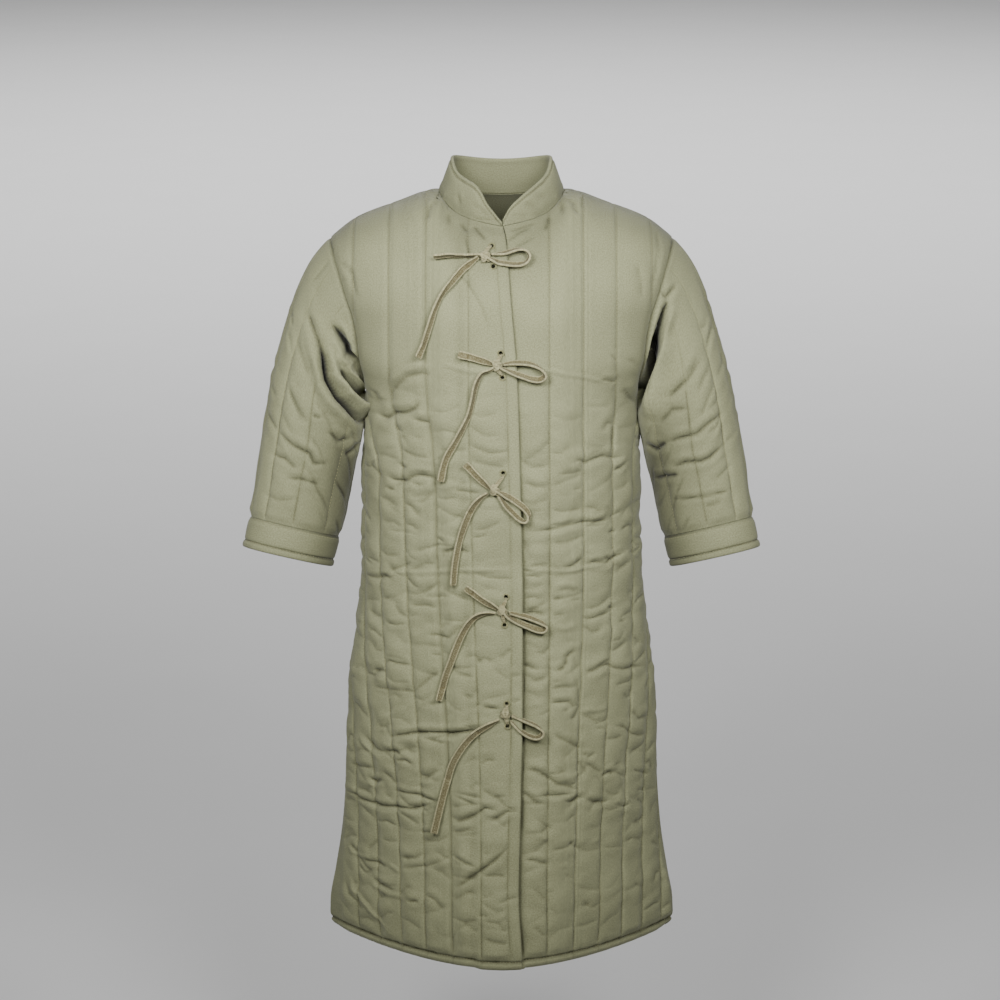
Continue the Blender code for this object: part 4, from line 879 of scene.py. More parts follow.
def mesh_object(name, points, faces, material, places, smooth_angle=THREAD_ANGLE):
    """A closed mesh with its faces outward, as an object in the scene."""
    points = np.asarray(points, float).reshape(-1, 3)
    used = np.unique(np.concatenate([np.asarray(face) for face in faces]))
    renumber = np.full(len(points), -1)
    renumber[used] = np.arange(len(used))
    points = points[used]
    faces = [[int(renumber[corner]) for corner in face] for face in faces]
    data = bpy.data.meshes.new(name)
    data.from_pydata(points.tolist(), [], faces)
    data.update()
    working = bmesh.new()
    working.from_mesh(data)
    bmesh.ops.recalc_face_normals(working, faces=working.faces[:])
    if working.calc_volume(signed=True) < 0.0:
        bmesh.ops.reverse_faces(working, faces=working.faces[:])
    working.to_mesh(data)
    working.free()
    data.shade_smooth()
    data.set_sharp_from_angle(angle=math.radians(smooth_angle))
    places = np.asarray(places, float)
    places = places.reshape(-1, places.shape[-1])[used]
    store = data.attributes.new("cloth_place", "FLOAT_VECTOR", "POINT")
    store.data.foreach_set("vector", places[:, :3].ravel())
    # A fourth column of places is the painted shade, kept as its own attribute.
    if places.shape[1] > 3:
        store = data.attributes.new("painted_shade", "FLOAT", "POINT")
        store.data.foreach_set("value", places[:, 3].copy())
    data.materials.append(material)
    thing = add_object(name, data)
    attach(thing, "root")
    return thing


def wall_object(name, outer, inner, places, inner_step, closed=False, same=None):
    """A wall of drill between its outer grid and its lining."""
    rows, count = outer.shape[:2]
    if same is None:
        same = np.tile(np.arange(count), (rows, 1))
    faces = wall_faces((rows, count), same, closed, inner_step)
    points = np.concatenate([outer.reshape(-1, 3), inner.reshape(-1, 3)])
    places = np.concatenate([places.reshape(-1, places.shape[-1])] * 2)
    return mesh_object(name, points, faces, cloth_material("cotton_drill"), places, 60.0)


# ---- sleeves and cuffs
SLEEVE_PUFF = 0.0040
SLEEVE_CHANNELS = 9
SLEEVE_DRAW_IN = {"right": 0.0055, "left": 0.0085}    # on its outer side, near the elbow
FRONT_SPOTS = 13.0      # the armhole's columns up the front, and down the back
BACK_SPOTS = 14.0
ROUNDED_SPOTS = 8.0
SLEEVE_SWEEP = 0.30     # how roundly the sleeve leaves its armhole
SLEEVE_DROP = 0.55      # and how much it turns down as it does
SLEEVE_TWIST = {"right": math.radians(10.0), "left": math.radians(6.0)}
CUFF_HEIGHT = 0.042
CUFF_STEP = 0.0015      # how far the cuff stands out from the sleeve
CUFF_ROLL_SHARE = 0.76  # from here down the cuff's edge is a stitched roll
CUFF_ROLL_AT = CUFF_ROLL_SHARE * CUFF_HEIGHT
CUFF_COLUMNS = 150
CUFF_RADIUS = 0.055     # turns an angle round the cuff into girth
SLEEVE_CHANNEL = 0.043
SLEEVE_HEAD = 0.190     # from the armhole to where the arm's own rows begin
SLEEVE_ARM = 0.240      # and from there to the cuff
SLEEVE_LAST = len(SLEEVE) - 1.0
SLEEVE_FULL_AT, SLEEVE_FULL = -0.288, 0.0078    # where its inner side is fullest, and how much

# Creases on the fronts of the sleeves, as on the panels.
SLEEVE_CREASES = {"right": (
    (-4.5, 3.6, -262, -157, 8, -18, 8, -18, 5, -14),
    (-23, 3.8, -245, -196, 6, -19, 5, -29, 13, -26, 13, -15, 12, -21, 9, -12),
    (-19, 3.8, -227, -172, 12, -16, 8, -13, 2, -11, 10, -10, 6, -18, 5, -18, 2, -17),
    (-21, 3.6, -217, -232, 9, -15, 8, -15, 9, -15, 7, -13),
    (-11, 9, -203, -222, 4, -24, 3, -22, 3, -16),
    (-3.4, 3, -297, -317, 18, -16, 21, -11, 6, -13, 18, -1), (-2.2, 3, -310, -347, 20, -5, 16, -14),
    (-2.4, 3, -288, -377, 22, -2, 21, -8), (-2, 5, -277, -191, 13, -32, 7, -19),
    (-2.2, 5, -286, -256, 11, -25, 10, -25), (-2.2, 2.5, -254, -292, 13, -3),
    (-2.6, 3, -236, -311, 16, -17, 16, 2), (-3, 3, -212, -350, 19, 13),
    (-1.2, 3, -323, -400, 24, -7, 27, 3), (-1, 3, -231, -88, -26, -32),
), "left": (
    (-15, 3.6, 224, -136, -7, -19, -5, -16, -5, -24, -4, -23, -7, -24, -6, -26),
    (-28, 5.5, 208, -180, -4, -28, -6, -27, -6, -27, -4, -22, -2, -16),
    (-3, 3, 205, -120, 15, -15, 16, 17), (-3.2, 3.5, 218, -273, 18, 17, 12, 11, 22, 30),
    (-2.8, 4, 214, -306, 15, 22, 24, 3), (-3.2, 3.2, 221, -330, 19, 8, 21, 5, 16, 14, 24, 14),
    (-3.4, 3, 230, -363, 18, 8, 19, 1, 11, 4, 21, 17), (-2.8, 3, 208, -384, 14, 7, 20, 5),
    (-2.2, 2.4, 229, -408, 23, 4, 24, 3, 35, 7), (-1.4, 3, 273, -415, 23, 7),
    (-4, 3, 197, -337, 13, -4, 14, 13), (-1.4, 3, 286, -380, 24, 19),
)}


def arm_ring(row, side):
    """Rings round the arm: centre, direction along it, away from the body, and ahead."""
    row = np.atleast_1d(row)
    outward, forward, height, outer, inner, half_depth = np.moveaxis(sleeve_at(row), -1, 0)
    ahead = sleeve_at(np.minimum(row + 0.05, SLEEVE_LAST))
    behind = sleeve_at(np.maximum(row - 0.05, 0.0))
    along = unit(np.stack([side * (ahead[:, 0] - behind[:, 0]), behind[:, 1] - ahead[:, 1],
                           ahead[:, 2] - behind[:, 2]], axis=-1))
    fore = unit(np.array([0.0, -1.0, 0.0]) - along * (-along[:, 1:2]))
    away = np.cross(along, fore)
    away *= np.sign(away[:, :1] * side)
    centre = np.stack([side * outward, -forward, height], axis=-1)
    return centre, along, away, fore, outer, inner, half_depth


def arm_points(row, side, angle, grow=0.0):
    """Points round the arm; angle 0 faces the body, and a quarter turn is its front."""
    centre, _, away, fore, outer, inner, half_depth = arm_ring(row, side)
    angle = np.atleast_1d(angle)[None, :]
    grow = np.atleast_1d(grow)[:, None]
    cosine, sine = np.cos(angle), np.sin(angle)
    width = -cosine * (np.where(cosine < 0, outer[:, None], inner[:, None]) + grow)
    height = sine * (half_depth[:, None] + grow)
    return (centre[:, None, :] + away[:, None, :] * width[..., None]
            + fore[:, None, :] * height[..., None])


def cuff_start(side):
    """Where along the sleeve's rows the cuff begins."""
    rows = np.arange(SLEEVE_LAST, 2.0, -0.005)
    away = np.linalg.norm(arm_ring(rows, side)[0] - arm_ring(SLEEVE_LAST, side)[0], axis=1)
    return float(rows[np.argmax(away >= CUFF_HEIGHT)])


def armhole_height(spot):
    """Height along the armhole, from the underarm up the front and down the back."""
    back = spot > FRONT_SPOTS
    place = np.where(back, FRONT_SPOTS + BACK_SPOTS - spot, spot)
    spots = np.where(back, BACK_SPOTS, FRONT_SPOTS)
    start = np.where(back, SHOULDER_START["back"], SHOULDER_START["front"])
    upright = spots - ROUNDED_SPOTS
    low = UNDERARM + (start - UNDERARM) * place / upright
    turn = np.clip((place - upright) / ROUNDED_SPOTS, 0.0, 1.0)
    return np.where(place < upright, low, start + (TIP - start) * np.sin(math.pi / 2 * turn))


def closed_normals(grid):
    """Outward directions of a closed tube's grid of points."""
    around = np.roll(grid, -1, axis=1) - np.roll(grid, 1, axis=1)
    normals = unit(np.cross(around, np.gradient(grid, axis=0)))
    middle = len(grid) // 2
    outward = grid[middle] - grid[middle].mean(axis=0)
    return normals if (normals[middle] * outward).sum() > 0 else -normals


def painted_inner_shade(turned):
    """Painted shade round a sleeve's girth: most on the side next to the body, where the body keeps
    the light off.
    """
    return np.interp(np.cos(turned), (-0.6, -0.4, -0.1, 0.1, 0.4, 0.6, 0.9),
                     (0.0, 0.05, 0.12, 0.18, 0.30, 0.44, 0.58))


def sleeve_grid(side, twist, spots, angle, step):
    """A sleeve's smooth surface, from its armhole down to the seam above the cuff."""
    height = armhole_height(spots)
    across = body_at(height)[:, 5]
    edge, normal = np.zeros((len(spots), 3)), np.zeros((len(spots), 3))
    for face, mask in (("front", spots <= FRONT_SPOTS), ("back", spots > FRONT_SPOTS)):
        edge[mask], normal[mask] = surface(face, across[mask], height[mask], side)
    normal = unit(np.roll(normal, 1, axis=0) + normal * 2.0 + np.roll(normal, -1, axis=0))
    off = unit(np.cross(np.roll(edge, -1, axis=0) - np.roll(edge, 1, axis=0), normal))
    off *= np.sign(off @ np.array([side, 0.0, 0.3]))[:, None]

    turned = angle + twist * np.maximum(np.sin(angle), 0.0)
    target = arm_points(0.0, side, turned)[0]
    along = arm_ring(0.0, side)[1][0]
    start = edge + off * (2 * SEAM_GAP)
    reach = np.linalg.norm(target - start, axis=1, keepdims=True) * SLEEVE_SWEEP
    lead = unit(off + np.array([side, 0.0, -1.0]) * SLEEVE_DROP)
    first, second = start + lead * reach, target - along * reach
    t = np.linspace(0.0, 1.0, round(SLEEVE_HEAD / step) + 1)[:, None, None]
    head = (start * (1 - t) ** 3 + first * (3 * (1 - t) ** 2 * t)
            + second * (3 * (1 - t) * t ** 2) + target * t ** 3)
    rows = np.linspace(0.0, cuff_start(side), round(SLEEVE_ARM / step) + 1)[1:]
    grid = np.concatenate([head, arm_points(rows, side, turned)])
    normals = closed_normals(grid)
    normals[0] = normal
    return grid, normals, turned


def short_sleeve_creases(rng):
    """Short creases across single channels, round the sleeve and down it."""
    found = []
    wide = SLEEVE_CHANNEL
    for line in range(SLEEVE_CHANNELS):
        at = 0.09 + rng.uniform(0.0, 0.03)
        while at < 0.27:
            left, right = line * wide, (line + 1) * wide
            span = rng.uniform(0.5, 1.0) * wide
            start, end = (left, left + span) if rng.random() < 0.5 else (right, right - span)
            slope, bow = rng.uniform(-0.014, 0.014), rng.uniform(-0.005, 0.005)
            out, width = -rng.uniform(0.6, 2.0), rng.uniform(2.8, 4.6)
            way = [(start, at), (0.5 * (start + end), at + 0.5 * slope + bow), (end, at + slope)]
            found.append((out, width, np.array(way)))
            at += rng.uniform(0.022, 0.055)
    return found


def build_sleeve(word, settings):
    """The fine grid of a sleeve, with its padding and creases."""
    side = side_of(word)
    total = FRONT_SPOTS + BACK_SPOTS
    even = np.linspace(0.0, 1.0, 24)[:-1]
    even = even - 0.04 * np.sin(2 * math.pi * even)
    lines = np.arange(SLEEVE_CHANNELS)[:, None] * (total / SLEEVE_CHANNELS)
    spots = (lines + even[None, :] * total / SLEEVE_CHANNELS).ravel()
    share = np.tile(even, SLEEVE_CHANNELS)
    channel = np.repeat(np.arange(SLEEVE_CHANNELS), len(even))
    angle = np.where(spots < FRONT_SPOTS, math.pi * spots / FRONT_SPOTS,
                     math.pi * (1.0 + (spots - FRONT_SPOTS) / BACK_SPOTS))
    grid, normals, turned = sleeve_grid(side, SLEEVE_TWIST[word], spots, angle, settings.grid_step)
    lengths = np.linalg.norm(np.diff(grid, axis=0), axis=2)
    down = np.vstack([np.zeros((1, len(spots))), np.cumsum(lengths, axis=0)])
    to_end = down[-1:] - down
    seed = 71 if word == "right" else 83

    height = grid[..., 2]
    lumps = lattice_noise(channel * 6.1, down / 0.033, seed)
    rise = SLEEVE_PUFF * arch(share) * (1.0 + 0.3 * lumps) \
        * (0.12 + 0.88 * smooth_step((down - 0.03) / 0.17))
    slim = bell(height + 0.19, 0.085) * smooth_step(-np.cos(turned) / 0.9)
    rise -= SLEEVE_DRAW_IN[word] * slim
    rise += SLEEVE_FULL * bell(height - SLEEVE_FULL_AT, 0.038) * smooth_step(np.cos(turned) / 0.9)
    for from_line, row in ((share, channel), (1.0 - share, (channel + 1) % SLEEVE_CHANNELS)):
        near = lattice_noise(row * 5.3, down / 0.0095, seed + 2)
        far = lattice_noise(row * 3.1, down / 0.021, seed + 3)
        rise += gathers(from_line * SLEEVE_CHANNEL, near, far)
    girth = (channel + share) * SLEEVE_CHANNEL
    folds = crease_rise(stacked(girth, down), short_sleeve_creases(np.random.default_rng(seed + 7)))
    in_front = in_metres(SLEEVE_CREASES[word])
    behind = [(0.8 * out, wide, way + np.array([0.0, 0.012])) for out, wide, way in in_front[::2]]
    for creases, facing in ((in_front, 0.10 - normals[..., 1]), (behind, normals[..., 1] - 0.10)):
        folds += smooth_step(facing / 0.30) * crease_rise(grid[..., [0, 2]], creases)
    fade = smooth_step((down + 0.002) / 0.016) * smooth_step((to_end + 0.001) / 0.012)
    rise = (rise + settings.crease_strength * folds) * fade
    # Painted shade in the deep folds and pleats.
    hollow = (np.clip(-folds * fade / FOLD_DARK, 0.0, 0.34)
              + 0.66 * np.clip((-folds * fade - 0.007) / 0.012, 0.0, 1.0))
    # Painted shade on the side next to the body, where the body keeps the light off, and at the
    # armhole's seam.
    painted_sleeve_shade = painted_inner_shade(turned) * smooth_step((down - 0.05) / 0.11)
    painted_sleeve_shade = painted_sleeve_shade * (1.0 + 0.28 * bell(height + 0.36, 0.07)) + 0.5 * bell(down - 0.001, 0.0030)
    gather = lattice_noise(spots / 0.9, 0.0, seed + 9)
    rise += 0.0006 * gather * np.exp(-to_end / 0.008) - 0.0022 * bell(down, 0.0035)
    outer = grid + normals * rise[..., None]
    inner = grid + normals * (lowest(rise, 4) - WALL)[..., None]
    return outer, inner, stacked(girth, down, 0.0, np.clip(painted_sleeve_shade + hollow, 0.0, 1.0)), normals


def build_cuff(word):
    """A plain band below the sleeve's end, with a stitched roll at its edge."""
    side = side_of(word)
    start = cuff_start(side)
    share = np.concatenate([[0.0, 0.02, 0.05, 0.09], np.linspace(0.14, 0.70, 13),
                            [0.73, 0.75, 0.77, 0.79, 0.82, 0.86, 0.90, 0.94, 0.97, 0.99, 1.0]])
    rows = start + (SLEEVE_LAST - start) * share
    angles = 2.0 * math.pi * np.arange(CUFF_COLUMNS) / CUFF_COLUMNS
    ahead = arm_ring(start, side)[1][0] * (2 * SEAM_GAP)
    grid = arm_points(rows, side, angles) + ahead
    normals = closed_normals(grid)
    down = share[:, None] * CUFF_HEIGHT
    girth = angles[None, :] * CUFF_RADIUS
    seed = 91 if word == "right" else 97
    body = CUFF_STEP * smooth_step(share / 0.10) \
        + 0.0012 * arch(np.clip(share / CUFF_ROLL_SHARE, 0, 1))
    roll_share = np.clip((share - CUFF_ROLL_SHARE) / (1.0 - CUFF_ROLL_SHARE), 0.0, 1.0)
    roll = 0.0016 * arch(roll_share, 2.4, 0.5)
    groove = 0.0011 * (1.0 + 0.4 * lattice_noise(girth / 0.0065, 0.0, seed))
    rise = body[:, None] + roll[:, None] - groove * bell(down - CUFF_ROLL_AT, 0.0016)
    rise = rise - 0.0009 * bell(down - 0.004, 0.0014)
    pull = lattice_noise(girth / 0.009, down / 0.02, seed + 1)
    pull = pull * np.exp(-np.abs(down - CUFF_ROLL_AT) / 0.008)
    pull += lattice_noise(girth / 0.03, down / 0.02, seed + 2) * 0.8
    rise = rise + 0.0005 * pull - rounded_edge((1.0 - share[:, None]) * CUFF_HEIGHT)
    outer = grid + normals * rise[..., None]
    inner = arm_points(rows, side, angles, -WALL) + ahead
    # Painted shade in the roll's stitched groove, at the seam below the sleeve, and on the side
    # next to the body.
    sunk = (0.40 * bell(down - CUFF_ROLL_AT, 0.0014) + 0.30 * bell(down - 0.001, 0.0016)
            + painted_inner_shade(angles)[None, :])
    return outer, inner, stacked(girth, down, 0.0, sunk), normals


# ---- collar
COLLAR_LEAN = 0.31      # how far it leans in for each metre up
COLLAR_WALL = 0.0045
COLLAR_STITCH = 0.0052  # from its top edge to the stitching along it
COLLAR_TURN = 0.0021    # radius of its top edge
COLLAR_END_TURN = 0.0018
NECK_BEHIND = 0.012     # the neck's middle, behind the shoulder line
# The collar's height at distances round the neck from each front end.
COLLAR_TOP = {
    "right": ((0.000, 0.006), (0.007, 0.0112), (0.0135, 0.0172), (0.020, 0.0222), (0.027, 0.0289),
              (0.034, 0.0364), (0.0405, 0.0414), (0.047, 0.0442), (0.054, 0.0456), (0.068, 0.0460),
              (0.082, 0.0455), (0.095, 0.0445), (0.110, 0.0455), (0.135, 0.0495), (0.160, 0.0505)),
    "left": ((0.000, 0.009), (0.010, 0.0215), (0.017, 0.0267), (0.0235, 0.0299), (0.030, 0.0327),
             (0.037, 0.0352), (0.044, 0.0370), (0.0575, 0.0395), (0.071, 0.0410), (0.0845, 0.0415),
             (0.098, 0.0425), (0.112, 0.0450), (0.130, 0.0490), (0.160, 0.0505)),
}
# Creases in it, as on the panels, but round the neck and up from the collar's seam.
COLLAR_CREASES = {"right": (
    (-1.8, 3, -2, 9.6, 9, -0.4, 13, -3.6, 14, -3.4, 12, -1.7), (-1.5, 3, 82, 22, -8, -7, -6, -3),
    (-1.5, 3, 40, 9, -12, 3, -14, -2), (-1.2, 3, 46, 17, -12, 0, -10, -2),
), "left": (
    (-1.4, 3, 30, 24, 14, -4, 12, -7), (-1.2, 3, 64, 26, 16, -8),
    (-1.2, 3.5, 10, 11, 12, -1, 14, -5),
)}


def neckline(step):
    """The neck's edge from the right front round the back to the left front."""
    found = []
    right = np.linspace(-0.0008, NECK_HALF, round(0.125 / step))
    back = np.linspace(-NECK_HALF, NECK_HALF, round(0.20 / step))[1:-1]
    left = np.linspace(NECK_HALF, 0.0018, round(0.125 / step))
    for face, across, side in (("front", right, -1.0), ("back", back, 1.0), ("front", left, 1.0)):
        found.append(surface(face, across, top_at[face](np.abs(across))[:, 1], side))
    return [np.concatenate(part) for part in zip(*found)]


def even_spacing(points, others, count):
    """The same line with its points evenly spaced."""
    lengths = lengths_along(points)
    even = np.linspace(0.0, lengths[-1], count)
    return read_at(even, lengths, points), read_at(even, lengths, others), even


def build_collar(settings):
    """A stand collar that leans in to the neck and rounds off at its front ends."""
    points, normals = neckline(settings.grid_step)
    count = round(0.46 / settings.grid_step)
    points, normals, length = even_spacing(points, smoothed(normals, 6), count)
    points, normals = smoothed(points, 2), unit(normals)
    along = unit(np.gradient(points, axis=0))
    to_left = length[-1] - length
    tall = np.where(length < to_left, Curve(COLLAR_TOP["right"])(length)[..., 0],
                    Curve(COLLAR_TOP["left"])(to_left)[..., 0])
    to_neck = unit(points * np.array([-1.0, -1.0, 0.0]) - np.array([0.0, NECK_BEHIND, 0.0]))
    up = unit(UP + to_neck * COLLAR_LEAN)
    off = np.cross(along, normals)
    off *= np.sign((off * up).sum(axis=-1))[:, None]
    outward = np.cross(up, along)
    outward[[0, -1], 0] = 0.0
    outward = unit(outward)
    outward *= -np.sign((outward * to_neck).sum(axis=-1))[:, None]
    outward = unit(smoothed(outward, 30))
    share = np.concatenate([[0.0, 0.03, 0.08], np.linspace(0.14, 0.80, 12),
                            [0.84, 0.87, 0.90, 0.93, 0.96, 0.985, 1.0]])[:, None]
    above = tall * share
    # Above its seam the band runs round the neck more smoothly than the neckline does.
    eased = (smoothed(points, 26) - points) * smooth_step(above / 0.018)[..., None]
    grid = points + off * (2 * SEAM_GAP) + eased + up * above[..., None]
    to_edge = tall * (1.0 - share)
    mostly = smooth_step(above / 0.010) * smooth_step((to_edge - 0.002) / 0.010)
    rise = 0.0015 * mostly * (1.0 + 0.4 * lattice_noise(length / 0.026, above / 0.02, 5))
    gather = lattice_noise(length / 0.0075, above / 0.05, 6)
    rise += 0.0006 * gather * np.exp(-above / 0.009)
    rise += 0.0004 * gather * np.exp(-np.abs(to_edge - COLLAR_STITCH) / 0.004)
    rise -= 0.0013 * bell(to_edge - COLLAR_STITCH, 0.0013)
    rise += 0.0006 * lattice_noise(length / 0.016 + above / 0.03, above / 0.06, 8) * mostly
    for word, from_end in (("right", length), ("left", to_left)):
        creases = crease_rise(stacked(from_end, above), in_metres(COLLAR_CREASES[word]))
        rise += creases * smooth_step((to_edge - 0.002) / 0.006)
    rise -= rounded_edge(to_edge, COLLAR_TURN)
    rise -= rounded_edge(np.minimum(length, to_left), COLLAR_END_TURN)
    outer = grid + outward * rise[..., None]
    inner = grid - outward * (COLLAR_WALL - rounded_edge(to_edge, COLLAR_TURN))[..., None]
    # Painted shade in the stitching's groove below the top edge and towards the seam at the neck;
    # the whole band is a little darker too.
    sunk = (0.34 * bell(to_edge - COLLAR_STITCH, 0.0012)
            + 0.11 + 0.15 * (1.0 - smooth_step(above / 0.036)))
    return outer, inner, stacked(length, above, 0.0, sunk), outward


# ---- ties and eyelets
TAPE_WIDTH = 0.0105
TAPE_HALF_THICK = 0.00085
TAPE_HEM = 0.00065      # how much thicker the tape's folded edges are, on each face
TAPE_STEP = 0.0016
STRAND_RISE = 0.0050    # the padding under the ties' routes
EYELET_RADIUS = 0.0031
EYELET_RIM = 0.0009
EYELET_DEEP = 0.030     # how far the punch reaches through both fronts
THREAD_RIDGES = 30      # turns of thread round an eyelet
RIM_SIDES = 8
KNOT_SIZE = np.array([0.00165, 0.00195, 0.00150])
KNOT_OUT = 0.0046       # its middle, from the cloth
KNOT_POINTS = 84
STRAND_STEP = 0.0012
ROUTE_UNITS = np.array([0.001, 0.001, 0.001, math.pi / 180.0])
THROUGH_KNOT = ((0, 0, 4.5, 90),)

# Each tie: its knot's place across and up; two eyelets (across, up) in mm from the knot;
# then routes in mm from the knot: across, up, out from the cloth, and how far the tape
# turns from lying flat (0) to standing on its edge (90) and on towards its other face.
Tie = namedtuple("Tie", "across height eyelets loop short long")
TIES = (
    Tie(-0.0205, -0.0745, ((7.5, 17.5), (9.5, -7.5)),
        ((8, 3, 4, 66), (25, 6, 5, 58), (41, 9, 7, 56), (51, 6, 9, 76), (55, -1, 9, 100),
         (51, -7, 7, 122), (41, -9, 6, 140), (24, -7, 5, 142), (8, -3, 4, 120)),
        ((-8, 1, 4, 84), (-20, 0, 7, 90), (-42, -1, 9, 90), (-67, -2, 11, 88)),
        ((-8, -1, 4, 60), (-29, -17, 7, 44), (-43, -31, 8, 46), (-55, -44, 7, 62),
         (-64, -61, 6, 66), (-76, -99, 8, 60), (-84, -127, 13, 54))),
    Tie(-0.0060, -0.209, ((5, 16), (7, -16)),
        ((8, 1, 4, 60), (24, 3, 5, 55), (41, 2, 7, 60), (55, -4, 9, 80), (61, -12, 9, 102),
         (56, -18, 6, 120), (46, -18, 5, 128), (29, -12, 5, 122), (9, -5, 4, 104)),
        ((-8, 3, 4, 30), (-28, 9, 6, 12), (-49, 14, 8, 6)),
        ((-4, -3, 3, 50), (-10, -6, 4, 60), (-20, -10, 6, 66), (-27, -26, 7, 64), (-33, -58, 6, 62),
         (-40, -77, 6, 54), (-52, -102, 6, 44), (-65, -128, 7, 36), (-71, -157, 9, 32))),
    Tie(-0.0090, -0.375, ((11, 21), (12, -14)),
        ((5, -8, 4, 70), (16, -24, 5, 62), (30, -39, 7, 60), (39, -44, 9, 84),
         (44, -37, 8, 118), (39, -27, 6, 134), (26, -16, 5, 130), (8, -4, 4, 108)),
        ((-8, 5, 4, 40), (-22, 19, 6, 18), (-37, 35, 8, 8)),
        ((-9, -4, 4, 60), (-19, -12, 6, 40), (-29, -27, 7, 24), (-37, -46, 6, 26),
         (-45, -72, 6, 40), (-51, -107, 6, 50), (-53, -135, 8, 60))),
    Tie(0.0010, -0.543, ((5, 18), (3, -21)),
        ((9, -4, 4, 64), (29, -9, 5, 60), (46, -16, 7, 66), (56, -23, 9, 88),
         (52, -29, 8, 118), (40, -26, 6, 132), (21, -17, 5, 130), (7, -9, 4, 106)),
        ((-8, 4, 4, 40), (-25, 15, 7, 20), (-47, 31, 9, 12)),
        ((-9, -3, 4, 60), (-21, -3, 6, 58), (-33, -8, 7, 50), (-44, -20, 7, 40),
         (-55, -42, 6, 34), (-66, -73, 6, 34), (-76, -102, 7, 40), (-82, -129, 9, 46))),
    Tie(0.0050, -0.686, ((2, 13), (3, -18)),
        ((8, -3, 4, 78), (24, -10, 6, 76), (39, -17, 9, 80), (47, -26, 11, 92),
         (43, -33, 10, 100), (34, -33, 7, 106), (22, -26, 5, 106), (7, -11, 4, 100)),
        (),
        ((-8, -7, 4, 60), (-26, -18, 6, 40), (-43, -32, 7, 26), (-57, -51, 7, 24),
         (-70, -77, 6, 26), (-79, -110, 6, 30), (-85, -140, 7, 32), (-91, -173, 9, 34))),
)


def on_lap(across, height, out):
    """Points a given distance out from the lapping front; across runs towards +X."""
    across, height = np.atleast_1d(across), np.atleast_1d(height)
    points, normals = surface("front", -across, height, -1.0)
    girth = girth_of("front", -across, height)
    edge = line_girth("front_right", -1, height)
    lines = np.stack([line_girth("front_right", line, height) for line in range(5)])
    spot = (lines <= girth).sum(axis=0) - 1
    lower = np.clip(spot, 0, 3)
    pick = np.arange(len(girth))
    share = (girth - lines[lower, pick]) / (lines[lower + 1, pick] - lines[lower, pick])
    padded = np.where(spot >= 0, np.sin(math.pi * np.clip(share, 0.0, 1.0)) ** 0.6, 0.0)
    rise = np.where(girth >= edge - 0.004, lap_lift(girth, height) + STRAND_RISE * padded,
                    STRAND_RISE)
    return points + normals * (rise + out)[:, None], normals


def smooth_way(route, step):
    """Evenly spaced rows on a smooth curve through a route's rows: place and turn."""
    values = np.asarray(route, float) * ROUTE_UNITS
    padded = np.vstack([2 * values[0] - values[1], values, 2 * values[-1] - values[-2]])
    fine = []
    t = np.linspace(0.0, 1.0, 25)[:-1, None]
    for before, start, end, after in zip(padded, padded[1:], padded[2:], padded[3:]):
        fine.append(0.5 * (2 * start + (end - before) * t
                           + (2 * before - 5 * start + 4 * end - after) * t * t
                           + (3 * start - before - 3 * end + after) * t ** 3))
    fine = smoothed(np.concatenate([*fine, values[-1:]]), 10)
    lengths = lengths_along(fine[:, :3])
    even = np.linspace(0.0, lengths[-1], max(6, round(lengths[-1] / step)) + 1)
    return read_at(even, lengths, fine), even


def tape_section():
    """The tape's cross section, as shares of its half width and offsets in metres."""
    thick, hem = TAPE_HALF_THICK, TAPE_HALF_THICK + TAPE_HEM
    top = [(-1.0, 0.0), (-0.97, 0.7 * hem), (-0.88, hem), (-0.72, hem), (-0.60, thick),
           (-0.3, thick), (0.3, thick), (0.60, thick), (0.72, hem), (0.88, hem), (0.97, 0.7 * hem)]
    return np.array(top + [(-x, -y) for x, y in top])


def tape_rings(way, turn, normals, widths):
    """Rings of a flat tape along its way."""
    along = unit(np.gradient(way, axis=0))
    sideways = unit(np.cross(along, normals))
    out = np.cross(sideways, along)
    cosine, sine = np.cos(turn)[:, None], np.sin(turn)[:, None]
    across = cosine * sideways + sine * out
    face = -sine * sideways + cosine * out
    section = tape_section()
    half = 0.5 * widths[:, None, None]
    return (way[:, None, :] + across[:, None, :] * (section[None, :, :1] * half)
            + face[:, None, :] * section[None, :, 1:])


def tube_faces(rows, count, offset=0, closed=False):
    """Faces of a tube, joined end to end or with flat ends."""
    faces = []
    for row in range(rows if closed else rows - 1):
        low, high = offset + row * count, offset + (row + 1) % rows * count
        for spot in range(count):
            after = (spot + 1) % count
            faces.append([low + spot, low + after, high + after, high + spot])
    if not closed:
        faces.append([offset + spot for spot in range(count)][::-1])
        faces.append([offset + (rows - 1) * count + spot for spot in range(count)])
    return faces


def tie_way(tie, route):
    """World points, cloth normals, turns and lengths along one of a tie's routes."""
    way, even = smooth_way(route, TAPE_STEP)
    turn = way[:, 3]
    clear = 0.5 * TAPE_WIDTH * np.abs(np.sin(turn)) * 0.80 + 0.0012
    out = np.maximum(way[:, 2], clear)
    points, normals = on_lap(tie.across + way[:, 0], tie.height + way[:, 1], out)
    return points, smoothed(normals, 3), turn, even


def pinched(lengths, at):
    """Share of the tape's full width near a place where the knot gathers it."""
    return 0.52 + (1.0 - 0.52) * smooth_step(np.abs(lengths - at) / 0.020)


